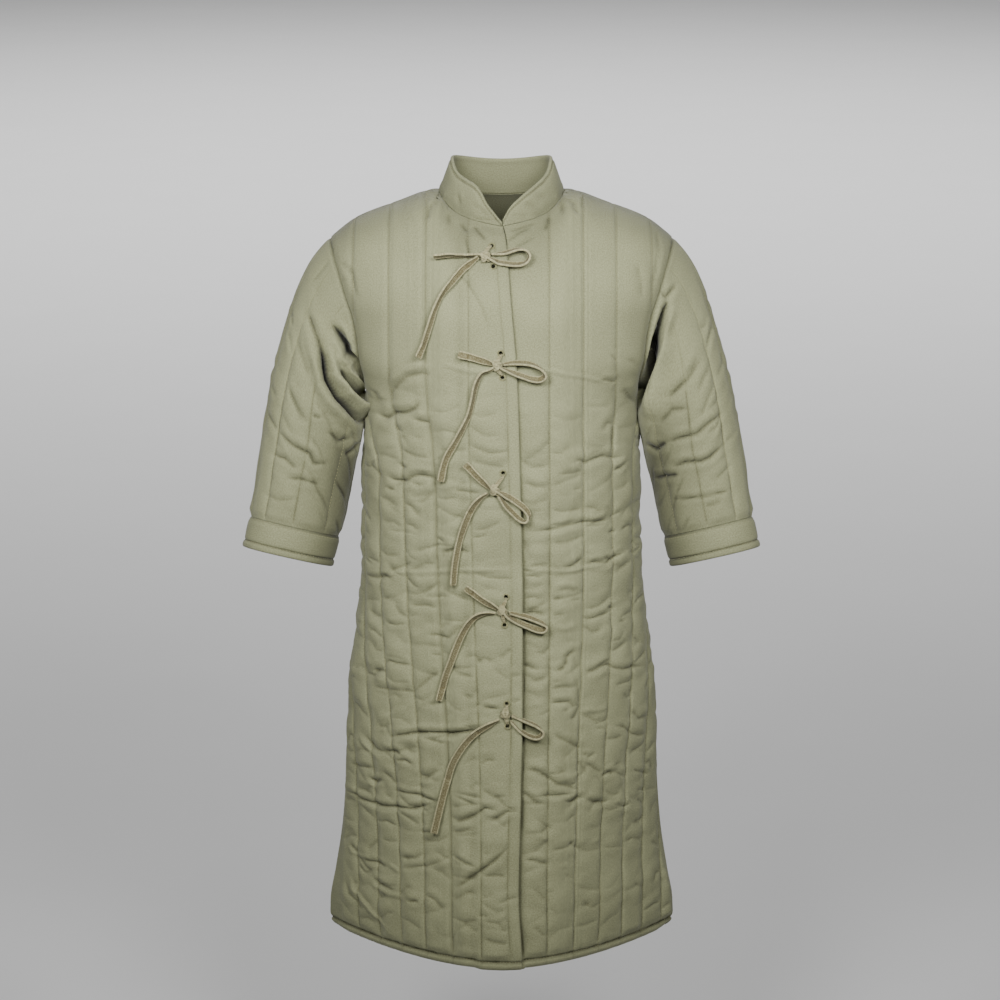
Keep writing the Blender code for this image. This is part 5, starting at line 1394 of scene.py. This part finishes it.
def make_tape(name, tie, route, knots, seed):
    """A length of tape along a route, gathered where the knot holds it."""
    points, normals, turn, lengths = tie_way(tie, route)
    widths = np.full(len(points), TAPE_WIDTH)
    for knot in knots:
        widths = widths * pinched(lengths, knot * lengths[-1])
    turn = turn + 0.12 * lattice_noise(lengths / 0.017, 0.0, seed)
    widths = widths * (1.0 + 0.05 * lattice_noise(lengths / 0.011, 0.0, seed + 1))
    rings = tape_rings(points, turn, normals, widths)
    centre = rings.mean(axis=1, keepdims=True)
    rings[[0, -1]] = centre[[0, -1]] + (rings[[0, -1]] - centre[[0, -1]]) * 0.86
    faces = tube_faces(*rings.shape[:2])
    # Across the tape, which sets where the material paints shade on its face.
    places = stacked(tape_section()[:, 0] * 0.5 * TAPE_WIDTH, lengths[:, None], 0.0)
    return mesh_object(name, rings, faces, cloth_material("cotton_tape"), places, 70.0), points


def knot_rings(line, half_thick, half_wide, sides=10):
    """Rings of an oval strand along a closed line."""
    along = unit(np.roll(line, -1, axis=0) - np.roll(line, 1, axis=0))
    side = unit(np.cross(along, line - line.mean(axis=0)))
    other = np.cross(side, along)
    angle = 2 * math.pi * np.arange(sides) / sides
    return (line[:, None, :] + side[:, None, :] * np.cos(angle)[None, :, None] * half_thick
            + other[:, None, :] * np.sin(angle)[None, :, None] * half_wide)


def make_knot(name, tie, number):
    """The tied knot, with the strands that run from it to its two eyelets."""
    t = 2 * math.pi * np.arange(KNOT_POINTS) / KNOT_POINTS
    turn = 0.7 * number
    knot = np.stack([np.sin(t + turn) + 2 * np.sin(2 * t + turn),
                     np.cos(t + turn) - 2 * np.cos(2 * t + turn),
                     -np.sin(3 * t + 1.5 * turn)], axis=-1) * KNOT_SIZE
    centre, normal = (part[0] for part in on_lap(tie.across, tie.height, KNOT_OUT))
    right = np.cross(UP, normal)
    right *= np.sign(right[0]) / np.linalg.norm(right)
    up = np.cross(normal, right)
    up *= np.sign(up[2])
    world = centre + knot[:, :1] * right + knot[:, 1:2] * up + knot[:, 2:] * normal
    rings = [knot_rings(world, 0.0017, 0.0028)]
    faces = tube_faces(*rings[0].shape[:2], closed=True)
    for across, high in tie.eyelets:
        inward = -1.0 if high > 0 else 1.0
        line, _ = smooth_way([(0, 0.15 * high, 4, 20), (0.45 * across, 0.5 * high, 3.2, 10),
                              (0.9 * across, high + 5.2 * inward, 1.6, 0),
                              (across, high + 3.2 * inward, -0.6, 0),
                              (across, high + 3.6 * inward, -4.0, 0)], STRAND_STEP)
        place, facing = on_lap(tie.across + line[:, 0], tie.height + line[:, 1], line[:, 2])
        widths = np.interp(np.linspace(0, 1, len(line)), (0.0, 0.4, 0.7, 1.0),
                           (0.0060, 0.0052, 0.0030, 0.0026))
        strand = tape_rings(place, line[:, 3], facing, widths)
        offset = sum(part.shape[0] * part.shape[1] for part in rings)
        faces += tube_faces(*strand.shape[:2], offset)
        rings.append(strand)
    points = np.concatenate([part.reshape(-1, 3) for part in rings])
    # Every knot point sits 3.6 mm across, where the material paints part of the tape's face shade
    # on it.
    places = points * np.array([0.0, 1.0, 1.0]) + np.array([0.0036, 0.0, 0.0])
    return mesh_object(name, points, faces, cloth_material("cotton_tape"), places)


def eyelet_places():
    """Across and height of every eyelet."""
    return [(tie.across + across * 1e-3, tie.height + up * 1e-3)
            for tie in TIES for across, up in tie.eyelets]


def cloth_point(panel, across, height):
    """Where a panel's outer face is at a place seen from the front, and its direction."""
    away = np.hypot(panel.outer[..., 0] - across, panel.outer[..., 2] - height)
    row, column = np.unravel_index(np.argmin(away), away.shape)
    near = slice(max(row - 1, 0), row + 2), slice(max(column - 1, 0), column + 2)
    normal = panel.normals[near].reshape(-1, 3).mean(axis=0)
    point = panel.outer[row, column].copy()
    point += np.array([across - point[0], 0.0, height - point[2]])
    return point, normal / np.linalg.norm(normal)


def cut_eyelets(things, places):
    """Cuts the eyelets through both fronts."""
    working = bmesh.new()
    for centre, normal in places:
        turn = Vector((0.0, 0.0, 1.0)).rotation_difference(Vector(normal)).to_matrix().to_4x4()
        turn.translation = Vector(centre - normal * 0.006)
        bmesh.ops.create_cone(working, cap_ends=True, segments=20, radius1=EYELET_RADIUS,
                              radius2=EYELET_RADIUS, depth=EYELET_DEEP, matrix=turn)
    data = bpy.data.meshes.new("eyelet_punch")
    data.materials.append(things[0].data.materials[0])
    working.to_mesh(data)
    working.free()
    punch = add_object("eyelet_punch", data)
    for thing in things:
        cut = thing.modifiers.new("eyelets", "BOOLEAN")
        cut.operation = "DIFFERENCE"
        cut.object = punch
        cut.solver = "MANIFOLD"
        bpy.context.view_layer.objects.active = thing
        with bpy.context.temp_override(object=thing, active_object=thing):
            bpy.ops.object.modifier_apply(modifier=cut.name)
    bpy.data.objects.remove(punch, do_unlink=True)


def make_eyelet_rims(places):
    """Thread wound round each eyelet's edge."""
    points, faces, offset = [], [], 0
    around = THREAD_RIDGES * 4
    angle = 2 * math.pi * np.arange(around) / around
    small = 2 * math.pi * np.arange(RIM_SIDES) / RIM_SIDES
    bumps = 1.0 + 0.22 * np.cos(angle * THREAD_RIDGES)
    out = np.cos(small)[None, :] * EYELET_RIM * 1.35 * bumps[:, None] + EYELET_RADIUS + 0.0007
    rise = np.sin(small)[None, :] * EYELET_RIM * bumps[:, None] + 0.0001
    for centre, normal in places:
        right = unit(np.cross(UP, normal))
        up = np.cross(normal, right)
        ring = (centre + (np.cos(angle)[:, None] * out)[..., None] * right
                + (np.sin(angle)[:, None] * out)[..., None] * up + rise[..., None] * normal)
        points.append(ring.reshape(-1, 3))
        faces += [face[:1] + face[:0:-1]
                  for face in tube_faces(around, RIM_SIDES, offset, closed=True)]
        offset += around * RIM_SIDES
    points = np.concatenate(points)
    return mesh_object("eyelet_stitching", points, faces, cloth_material("sewing_thread"), points)


# ---- stitching
STITCH_PITCH = 0.0042
STITCH_LENGTH = 0.0031
THREAD_HALF = 0.00036
# Shares of a stitch's length where it has corners, whether it is full there, and its lift.
STITCH_SHAPE = ((0.0, False, -0.0002), (0.2, True, 0.00022), (0.8, True, 0.00022),
                (1.0, False, -0.0002))
STITCH_TRIS = np.array([(0, 2, 1), (0, 3, 2), (0, 1, 3), (7, 4, 5), (7, 5, 6), (7, 6, 4)])
STITCH_QUADS = np.array([(1, 2, 5, 4), (2, 3, 6, 5), (3, 1, 4, 6)])
COLLAR_BELOW = 0.047    # height of the stitching across the front edge's band, below zero


def spaced(points, normals):
    """Ends of the stitches along a line, with the cloth's direction at each."""
    lengths = lengths_along(points)
    count = int(lengths[-1] / STITCH_PITCH)
    if count < 2:
        return None
    middle = (np.arange(count) + 0.5) * lengths[-1] / count
    half = 0.5 * STITCH_LENGTH
    return (read_at(middle - half, lengths, points), read_at(middle + half, lengths, points),
            read_at(middle, lengths, normals))


def make_stitches(name, rows):
    """All of a piece's stitches: a short thread for each, tapered where it dips in."""
    found = [row for row in (spaced(*line) for line in rows) if row]
    start, end, normal = (np.concatenate(part) for part in zip(*found))
    normal = unit(normal)
    along = unit(end - start)
    side = np.cross(normal, along)
    verts = []
    for share, full, lift in STITCH_SHAPE:
        centre = start + (end - start) * share + normal * lift
        ring = [centre]
        if full:
            ring = [centre + (side * math.cos(a) + normal * math.sin(a)) * THREAD_HALF
                    for a in (math.pi / 2, math.pi * 7 / 6, math.pi * 11 / 6)]
        verts.append(np.stack(ring, axis=1))
    verts = np.concatenate(verts, axis=1)
    offset = 8 * np.arange(len(verts))[:, None, None]
    faces = [face for pattern in (STITCH_TRIS, STITCH_QUADS)
             for face in (pattern[None] + offset).reshape(-1, pattern.shape[1]).tolist()]
    return mesh_object(name, verts, faces, cloth_material("sewing_thread"), verts)


def panel_stitch_rows(panel):
    """The quilt lines and the hem's stitching of a panel."""
    rows = []
    last = len(panel.columns) - 1
    for spot, column in enumerate(panel.columns):
        whole = abs(column - round(column)) < 1e-6
        edge = column <= (-1 if panel.name == "front_right" else 0)
        if not whole or spot in (0, last) or (edge and panel.name != "back"):
            continue
        keep = panel.same[:, spot] == spot
        keep &= np.arange(len(keep)) > GROOVE_ROW
        breaks = np.flatnonzero(np.diff(np.flatnonzero(keep)) > 1)
        for part in np.split(np.flatnonzero(keep), breaks + 1):
            if len(part) > 3:
                rows.append((panel.outer[part, spot], panel.normals[part, spot]))
    keep = panel.same[GROOVE_ROW] == np.arange(last + 1)
    if panel.name == "front_left":
        keep &= panel.columns > 0.0
    rows.append((panel.outer[GROOVE_ROW, keep], panel.normals[GROOVE_ROW, keep]))
    if panel.name == "front_right":
        band = np.flatnonzero(panel.columns <= 0.0)
        level = int(np.argmin(np.abs(panel.height[:, band[1]] + COLLAR_BELOW)))
        rows.append((panel.outer[level, band], panel.normals[level, band]))
    return rows


# ---- materials
def srgb(text):
    """A colour's hex value as linear red, green, blue and alpha."""
    parts = [int(text[spot:spot + 2], 16) / 255.0 for spot in (1, 3, 5)]
    return (*(p / 12.92 if p <= 0.04045 else ((p + 0.055) / 1.055) ** 2.4 for p in parts), 1.0)


def add_node(tree, kind, settings=None, inputs=None):
    """Adds a node, sets its properties, and fills or links its inputs."""
    node = tree.nodes.new(kind)
    for name, value in (settings or {}).items():
        setattr(node, name, value)
    for name, value in (inputs or {}).items():
        if isinstance(value, bpy.types.NodeSocket):
            tree.links.new(value, node.inputs[name])
        else:
            node.inputs[name].default_value = value
    return node


def map_range(tree, value, start, end, at_start, at_end):
    """What runs from one value to another while its input runs from start to end."""
    node = add_node(tree, "ShaderNodeMapRange", {},
                    {"Value": value, "From Min": start, "From Max": end,
                     "To Min": at_start, "To Max": at_end})
    return node.outputs["Result"]


def new_material(name, **finish):
    """A material's node tree and its shader, with the finish's constants on the shader."""
    material = bpy.data.materials.new(name)
    material.use_nodes = True
    shader = material.node_tree.nodes["Principled BSDF"]
    for socket, value in finish.items():
        shader.inputs[socket.replace("_", " ")].default_value = value
    return material, material.node_tree, shader


def woven_cotton(name, light, dark, thread, bump, twill, folded):
    """Woven cotton: matt, a little fuzzy, with its threads as fine relief."""
    # Cotton scatters almost all its light; the fuzz of its fibres brightens grazing angles.
    material, tree, shader = new_material(
        name, Roughness=0.88, IOR=1.46, Specular_IOR_Level=0.22, Sheen_Weight=0.10,
        Sheen_Roughness=0.45)
    place = add_node(tree, "ShaderNodeAttribute", {"attribute_name": "cloth_place"})
    space = place.outputs["Vector"]
    # Broad unevenness of the dye, about 60 mm across, and slubs of about 2 mm.
    dye = add_node(tree, "ShaderNodeTexNoise", {}, {"Vector": space, "Scale": 16.0, "Detail": 3.0})
    slub = add_node(tree, "ShaderNodeTexNoise", {}, {"Vector": space, "Scale": 520.0, "Detail": 3.0,
                                                    "Roughness": 0.6})
    uneven = map_range(tree, dye.outputs["Fac"], 0.30, 0.70, 0.16, 0.0)
    specks = map_range(tree, slub.outputs["Fac"], 0.34, 0.66, 0.50, 0.0)
    # Painted shade where the mesh is hollow, so creases and stitched grooves come out darker.
    hollow = add_node(tree, "ShaderNodeNewGeometry")
    shaded = map_range(tree, hollow.outputs["Pointiness"], 0.42, 0.50, 0.55, 0.0)
    thin = add_node(tree, "ShaderNodeMath", {"operation": "ADD"}, {0: uneven, 1: specks})
    if folded:
        # The tape's face between its folded edges gets painted shade; the edges keep the lighter
        # colour, as if lit.
        parts = add_node(tree, "ShaderNodeSeparateXYZ", {}, {"Vector": space})
        away = add_node(tree, "ShaderNodeMath", {"operation": "ABSOLUTE"}, {0: parts.outputs["X"]})
        face = map_range(tree, away.outputs["Value"], 0.0030, 0.0040, 0.42, 0.0)
        thin = add_node(tree, "ShaderNodeMath", {"operation": "ADD"},
                        {0: thin.outputs["Value"], 1: face})
    total = add_node(tree, "ShaderNodeMath", {"operation": "ADD", "use_clamp": True},
                     {0: shaded, 1: thin.outputs["Value"]})
    colour = add_node(tree, "ShaderNodeMix", {"data_type": "RGBA"},
                      {"Factor": total.outputs["Value"], "A": light, "B": dark})
    # Painted shade: where a fold, a groove, the lap's edge or a sleeve's inner side holds shade,
    # the colour is mixed towards near-black.
    depth = add_node(tree, "ShaderNodeAttribute", {"attribute_name": "painted_shade"})
    deep = map_range(tree, depth.outputs["Fac"], 0.04, 0.85, 0.0, 0.93)
    painted_shade_mix = add_node(tree, "ShaderNodeMix", {"data_type": "RGBA"},
                      {"Factor": deep, "A": colour.outputs["Result"], "B": srgb("#1F1E15")})
    tree.links.new(painted_shade_mix.outputs["Result"], shader.inputs["Base Color"])
    # Real threads are 0.5 mm apart; they are drawn wider so that the relief shows. A band
    # across the diagonal is 0.628 over the texture's scale wide.
    ribs = add_node(tree, "ShaderNodeTexWave",
                    {"wave_type": "BANDS", "bands_direction": "DIAGONAL" if twill else "Y"},
                    {"Vector": space, "Scale": 0.628 / thread, "Distortion": 2.0, "Detail": 2.0})
    relief = add_node(tree, "ShaderNodeMix", {"data_type": "FLOAT"},
                      {"Factor": 0.55, "A": ribs.outputs["Fac"], "B": slub.outputs["Fac"]})
    raised = add_node(tree, "ShaderNodeBump", {},
                      {"Strength": bump, "Distance": 0.0009, "Height": relief.outputs["Result"]})
    tree.links.new(raised.outputs["Normal"], shader.inputs["Normal"])
    return material


def floor_paint(name, colour):
    """Matt emulsion on a smooth floor, with the faint mottling of a roller."""
    material, tree, shader = new_material(name, Roughness=0.95, Specular_IOR_Level=0.1)
    place = add_node(tree, "ShaderNodeNewGeometry")
    mottle = add_node(tree, "ShaderNodeTexNoise", {},
                      {"Vector": place.outputs["Position"], "Scale": 3.0, "Detail": 4.0})
    tone = add_node(tree, "ShaderNodeMix", {"data_type": "RGBA"},
                    {"Factor": mottle.outputs["Fac"], "A": colour,
                     "B": tuple(channel * 0.96 for channel in colour[:3]) + (1.0,)})
    tree.links.new(tone.outputs["Result"], shader.inputs["Base Color"])
    return material


WEAVES = {
    # its colour, its darker colour for dye, slubs and painted shade, spacing of the threads,
    # relief, twill, folded edges with painted shade on the face between them
    "cotton_drill": ("cloth", "cloth_shade", 0.0022, 0.55, True, False),
    "cotton_tape": ("tape", "tape_shade", 0.0018, 0.6, False, True),
    "sewing_thread": ("thread", "cloth_shade", 0.0010, 0.2, False, False),
}


@functools.lru_cache(maxsize=None)
def cloth_material(kind):
    """The garment's materials, each made once from the colours in the sidebar."""
    light, dark, *weave = WEAVES[kind]
    light, dark = ((*getattr(bpy.context.scene.gambeson_colours, colour), 1.0)
                   for colour in (light, dark))
    return woven_cotton(kind, light, dark, *weave)


# ---- settings
class GambesonSizes(bpy.types.PropertyGroup):
    """Sizes of the cloth's detail"""
    grid_step: FloatProperty(name="Grid step", description="Spacing of the cloth's grid",
                             default=0.0030, min=0.002, max=0.01, unit="LENGTH")
    crease_strength: FloatProperty(name="Creases", description="Strength of the creases",
                                   default=1.0, min=0.0, max=2.0, subtype="FACTOR")
    lining_step: IntProperty(name="Lining step", default=4, min=1, max=8,
                             description="Grid steps to each step of the lining")


def colour_property(name, description, value):
    """A colour in the sidebar."""
    return FloatVectorProperty(name=name, description=description, size=3, default=srgb(value)[:3],
                               min=0.0, max=1.0, subtype="COLOR")


class GambesonColours(bpy.types.PropertyGroup):
    """Colours of the cloth, the tape and the thread"""
    cloth: colour_property("Cloth", "Undyed to sage cotton drill", "#8E9070")
    # The darker colour serves the dye's unevenness and slubs, and the painted shade in hollows and
    # creases.
    cloth_shade: colour_property("Cloth in hollows", "The cloth where it is creased", "#5E5E44")
    tape: colour_property("Tape", "The ties' cotton tape", "#A9A682")
    # The darker colour serves slubs, and the painted shade on the tape's face and in hollows.
    tape_shade: colour_property("Tape in hollows", "The tape where it is worn", "#5C553A")
    thread: colour_property("Thread", "The sewing thread", "#8E8D68")
    floor: colour_property("Floor", "The pale floor", "#E2E2E2")


def cloth_piece(node, ending, grids, rows, flat, held, rests_on, area=None, **build):
    """A sheet of quilted cloth in place of its solid, with the stitching on it."""
    thing = wall_object(f"{node}_{ending}", *grids, **build)
    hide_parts(node)
    stitches = make_stitches(f"{node}_stitches", rows)
    return thing


def panel_object(name, flat, area, context):
    """Builds a body panel and the stitching on it."""
    sizes = context.scene.gambeson_sizes
    panel = build_panel(name, sizes)
    grids = panel.outer, panel.inner, stacked(panel.girth, panel.down, 0.0, panel.folded)
    thing = cloth_piece(name, "quilted", grids, panel_stitch_rows(panel), flat, "hung",
                        ["collar"], area, inner_step=sizes.lining_step, same=panel.same)
    return panel, thing


class GAMBESON_OT_fronts(bpy.types.Operator):
    """Build both fronts, with their eyelets"""
    bl_idname = "gambeson.fronts"
    bl_label = "Fronts"

    def execute(self, context):
        panel, right = panel_object("front_right", (0.415, 1.13), 0.42, context)
        _, left = panel_object("front_left", (0.42, 1.13), 0.42, context)
        places = [cloth_point(panel, across, height) for across, height in eyelet_places()]
        cut_eyelets([right, left], places)
        make_eyelet_rims(places)
        return {"FINISHED"}


class GAMBESON_OT_back(bpy.types.Operator):
    """Build the back"""
    bl_idname = "gambeson.back"
    bl_label = "Back"

    def execute(self, context):
        panel_object("back", (0.74, 1.16), 0.80, context)
        return {"FINISHED"}


class GAMBESON_OT_sleeves(bpy.types.Operator):
    """Build both sleeves and their cuffs"""
    bl_idname = "gambeson.sleeves"
    bl_label = "Sleeves and cuffs"

    def execute(self, context):
        for word in ("right", "left"):
            *grids, normals = build_sleeve(word, context.scene.gambeson_sizes)
            outer = grids[0]
            lines = range(0, outer.shape[1], outer.shape[1] // SLEEVE_CHANNELS)
            rows = [(outer[3:-2, spot], normals[3:-2, spot]) for spot in lines]
            cloth_piece(f"sleeve_{word}", "quilted", grids, rows, (0.44, 0.36), "hung", ["back"],
                        0.12, inner_step=3, closed=True)

            *grids, normals = build_cuff(word)
            rows = []
            for share in (0.095, CUFF_ROLL_SHARE):
                level = int(np.argmin(np.abs(grids[2][:, 0, 1] - share * CUFF_HEIGHT)))
                rows.append([np.concatenate([part[level], part[level, :1]])
                             for part in (grids[0], normals)])
            cloth_piece(f"cuff_{word}", "band", grids, rows, (0.35, 0.043), "hung",
                        [f"sleeve_{word}"], inner_step=3, closed=True)
        return {"FINISHED"}


class GAMBESON_OT_collar(bpy.types.Operator):
    """Build the stand collar"""
    bl_idname = "gambeson.collar"
    bl_label = "Collar"

    def execute(self, context):
        *grids, outward = build_collar(context.scene.gambeson_sizes)
        outer, _, places = grids
        spots, facings = [], []
        for column in range(3, outer.shape[1] - 3):
            heights = places[:, column, 1]
            wanted = heights[-1] - COLLAR_STITCH
            if wanted > heights[2]:
                spots.append([np.interp(wanted, heights, axis) for axis in outer[:, column].T])
                facings.append(outward[column])
        rows = [(np.array(spots), np.array(facings))]
        cloth_piece("collar", "band", grids, rows, (0.46, 0.05), "stretched", ["back"],
                    inner_step=2)
        return {"FINISHED"}


def tie_tape(number, ending, route, knots, seed, nodes):
    """One of a tie's tapes in place of its solids."""
    name = f"tie_{number}"
    tape, way = make_tape(f"{name}_{ending}", TIES[number - 1], route, knots, seed)
    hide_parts(*[f"{name}_{node}" for node in nodes])


class GAMBESON_OT_ties(bpy.types.Operator):
    """Build the five tape ties with their knots"""
    bl_idname = "gambeson.ties"
    bl_label = "Ties"

    def execute(self, context):
        for number, tie in enumerate(TIES, start=1):
            knot = make_knot(f"tie_{number}_tied_knot", tie, number)
            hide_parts(f"tie_{number}_knot")
            route, knots, nodes, far_end = tie.loop, (0.0, 1.0), ["loop"], "object"
            if tie.short:
                # The tape goes back through the knot and ends in its short tail.
                route = tie.loop + THROUGH_KNOT + tie.short
                knots, nodes, far_end = (0.0, knot_share(tie)), ["loop", "short_tail"], "bare"
            tie_tape(number, "bow", route, knots, 200 + number, nodes)
            tie_tape(number, "tail", tie.long, (0.0,), 300 + number, ["long_tail"])
        return {"FINISHED"}


def knot_share(tie):
    """How far along its bow the tape passes back through the knot."""
    whole = np.asarray(tie.loop + THROUGH_KNOT + tie.short, float)[:, :3]
    steps = np.linalg.norm(np.diff(whole, axis=0), axis=1)
    return float(steps[:len(tie.loop)].sum() / steps.sum())


# ---- the stage
CAMERA_PITCH = math.radians(14.0)
CAMERA_AWAY = 4.5
CAMERA_TARGET = Vector((0.0, 0.0, -0.4286))
SENSOR_MM = 36.0
LENS_MM = 117.97
LENS_SHIFT = -0.0015
WORLD_LIGHT = 0.14
FLOOR_HEIGHT = -1.45
FLOOR_HALF = 30.0
LIGHTS = (
    # name, place, what it is aimed at, size, spread in degrees, power
    ("key", (-0.66, -1.90, 0.72), (0.0, -0.15, -0.16), 0.8, 64.0, 8.5),
    ("fill", (0.62, -1.90, 0.72), (0.0, -0.15, -0.16), 0.8, 64.0, 7.8),
    ("floor_light", (0.0, 10.2, 6.5), (0.0, 10.6, -1.4), 11.0, 150.0, 1010.0),
)


class GAMBESON_OT_stage(bpy.types.Operator):
    """Set the pale floor, the soft studio lights and the camera"""
    bl_idname = "gambeson.stage"
    bl_label = "Stage"

    def execute(self, context):
        scene = context.scene
        colour = (*scene.gambeson_colours.floor, 1.0)
        corners = [(x * FLOOR_HALF, y * FLOOR_HALF, FLOOR_HEIGHT)
                   for x, y in ((-1, -1), (1, -1), (1, 1), (-1, 1))]
        data = bpy.data.meshes.new("studio_floor")
        data.from_pydata(corners, [], [(0, 1, 2, 3)])
        data.materials.append(floor_paint("matt_emulsion", colour))
        floor = add_object("studio_floor", data)

        world = bpy.data.worlds.new("studio")
        world.use_nodes = True
        background = world.node_tree.nodes["Background"]
        background.inputs["Color"].default_value = srgb("#FFFFFF")
        background.inputs["Strength"].default_value = WORLD_LIGHT
        scene.world = world
        for name, place, aim, size, spread, power in LIGHTS:
            light = bpy.data.lights.new(name, "AREA")
            light.shape = "DISK"
            light.size = size
            light.spread = math.radians(spread)
            light.energy = power
            lamp = add_object(name, light)
            lamp.location = place
            way = Vector(aim) - Vector(place)
            lamp.rotation_euler = way.to_track_quat("-Z", "Y").to_euler()

        lens = bpy.data.cameras.new("camera")
        lens.sensor_width = SENSOR_MM
        lens.lens = LENS_MM
        lens.shift_x = LENS_SHIFT
        camera = add_object("camera", lens)
        camera.location = CAMERA_TARGET + CAMERA_AWAY * Vector(
            (0.0, -math.cos(CAMERA_PITCH), math.sin(CAMERA_PITCH)))
        camera.rotation_euler = (math.pi / 2 - CAMERA_PITCH, 0.0, 0.0)
        scene.camera = camera
        return {"FINISHED"}


class GAMBESON_PT_panel(bpy.types.Panel):
    """Sizes, colours and the steps that build the garment"""
    bl_label = "Gambeson"
    bl_idname = "GAMBESON_PT_panel"
    bl_space_type = "VIEW_3D"
    bl_region_type = "UI"
    bl_category = "Gambeson"

    def draw(self, context):
        for group in (context.scene.gambeson_sizes, context.scene.gambeson_colours):
            for name in group.__annotations__:
                self.layout.prop(group, name)
        for step in STEPS:
            self.layout.operator(step.bl_idname)


STEPS = (GAMBESON_OT_stage, GAMBESON_OT_ties, GAMBESON_OT_fronts, GAMBESON_OT_back,
         GAMBESON_OT_sleeves, GAMBESON_OT_collar)
CLASSES = (GambesonSizes, GambesonColours, *STEPS, GAMBESON_PT_panel)


def register():
    """Adds the classes and the scene's settings."""
    for kind in CLASSES:
        bpy.utils.register_class(kind)
    bpy.types.Scene.gambeson_sizes = PointerProperty(type=GambesonSizes)
    bpy.types.Scene.gambeson_colours = PointerProperty(type=GambesonColours)


def unregister():
    """Takes them away again."""
    del bpy.types.Scene.gambeson_colours
    del bpy.types.Scene.gambeson_sizes
    for kind in reversed(CLASSES):
        bpy.utils.unregister_class(kind)


def main():
    """Builds everything in order."""
    register()
    bpy.ops.gambeson.stage()
    bpy.ops.gambeson.ties()
    bpy.ops.gambeson.fronts()
    bpy.ops.gambeson.back()
    bpy.ops.gambeson.sleeves()
    bpy.ops.gambeson.collar()


if __name__ == "__main__":
    main()
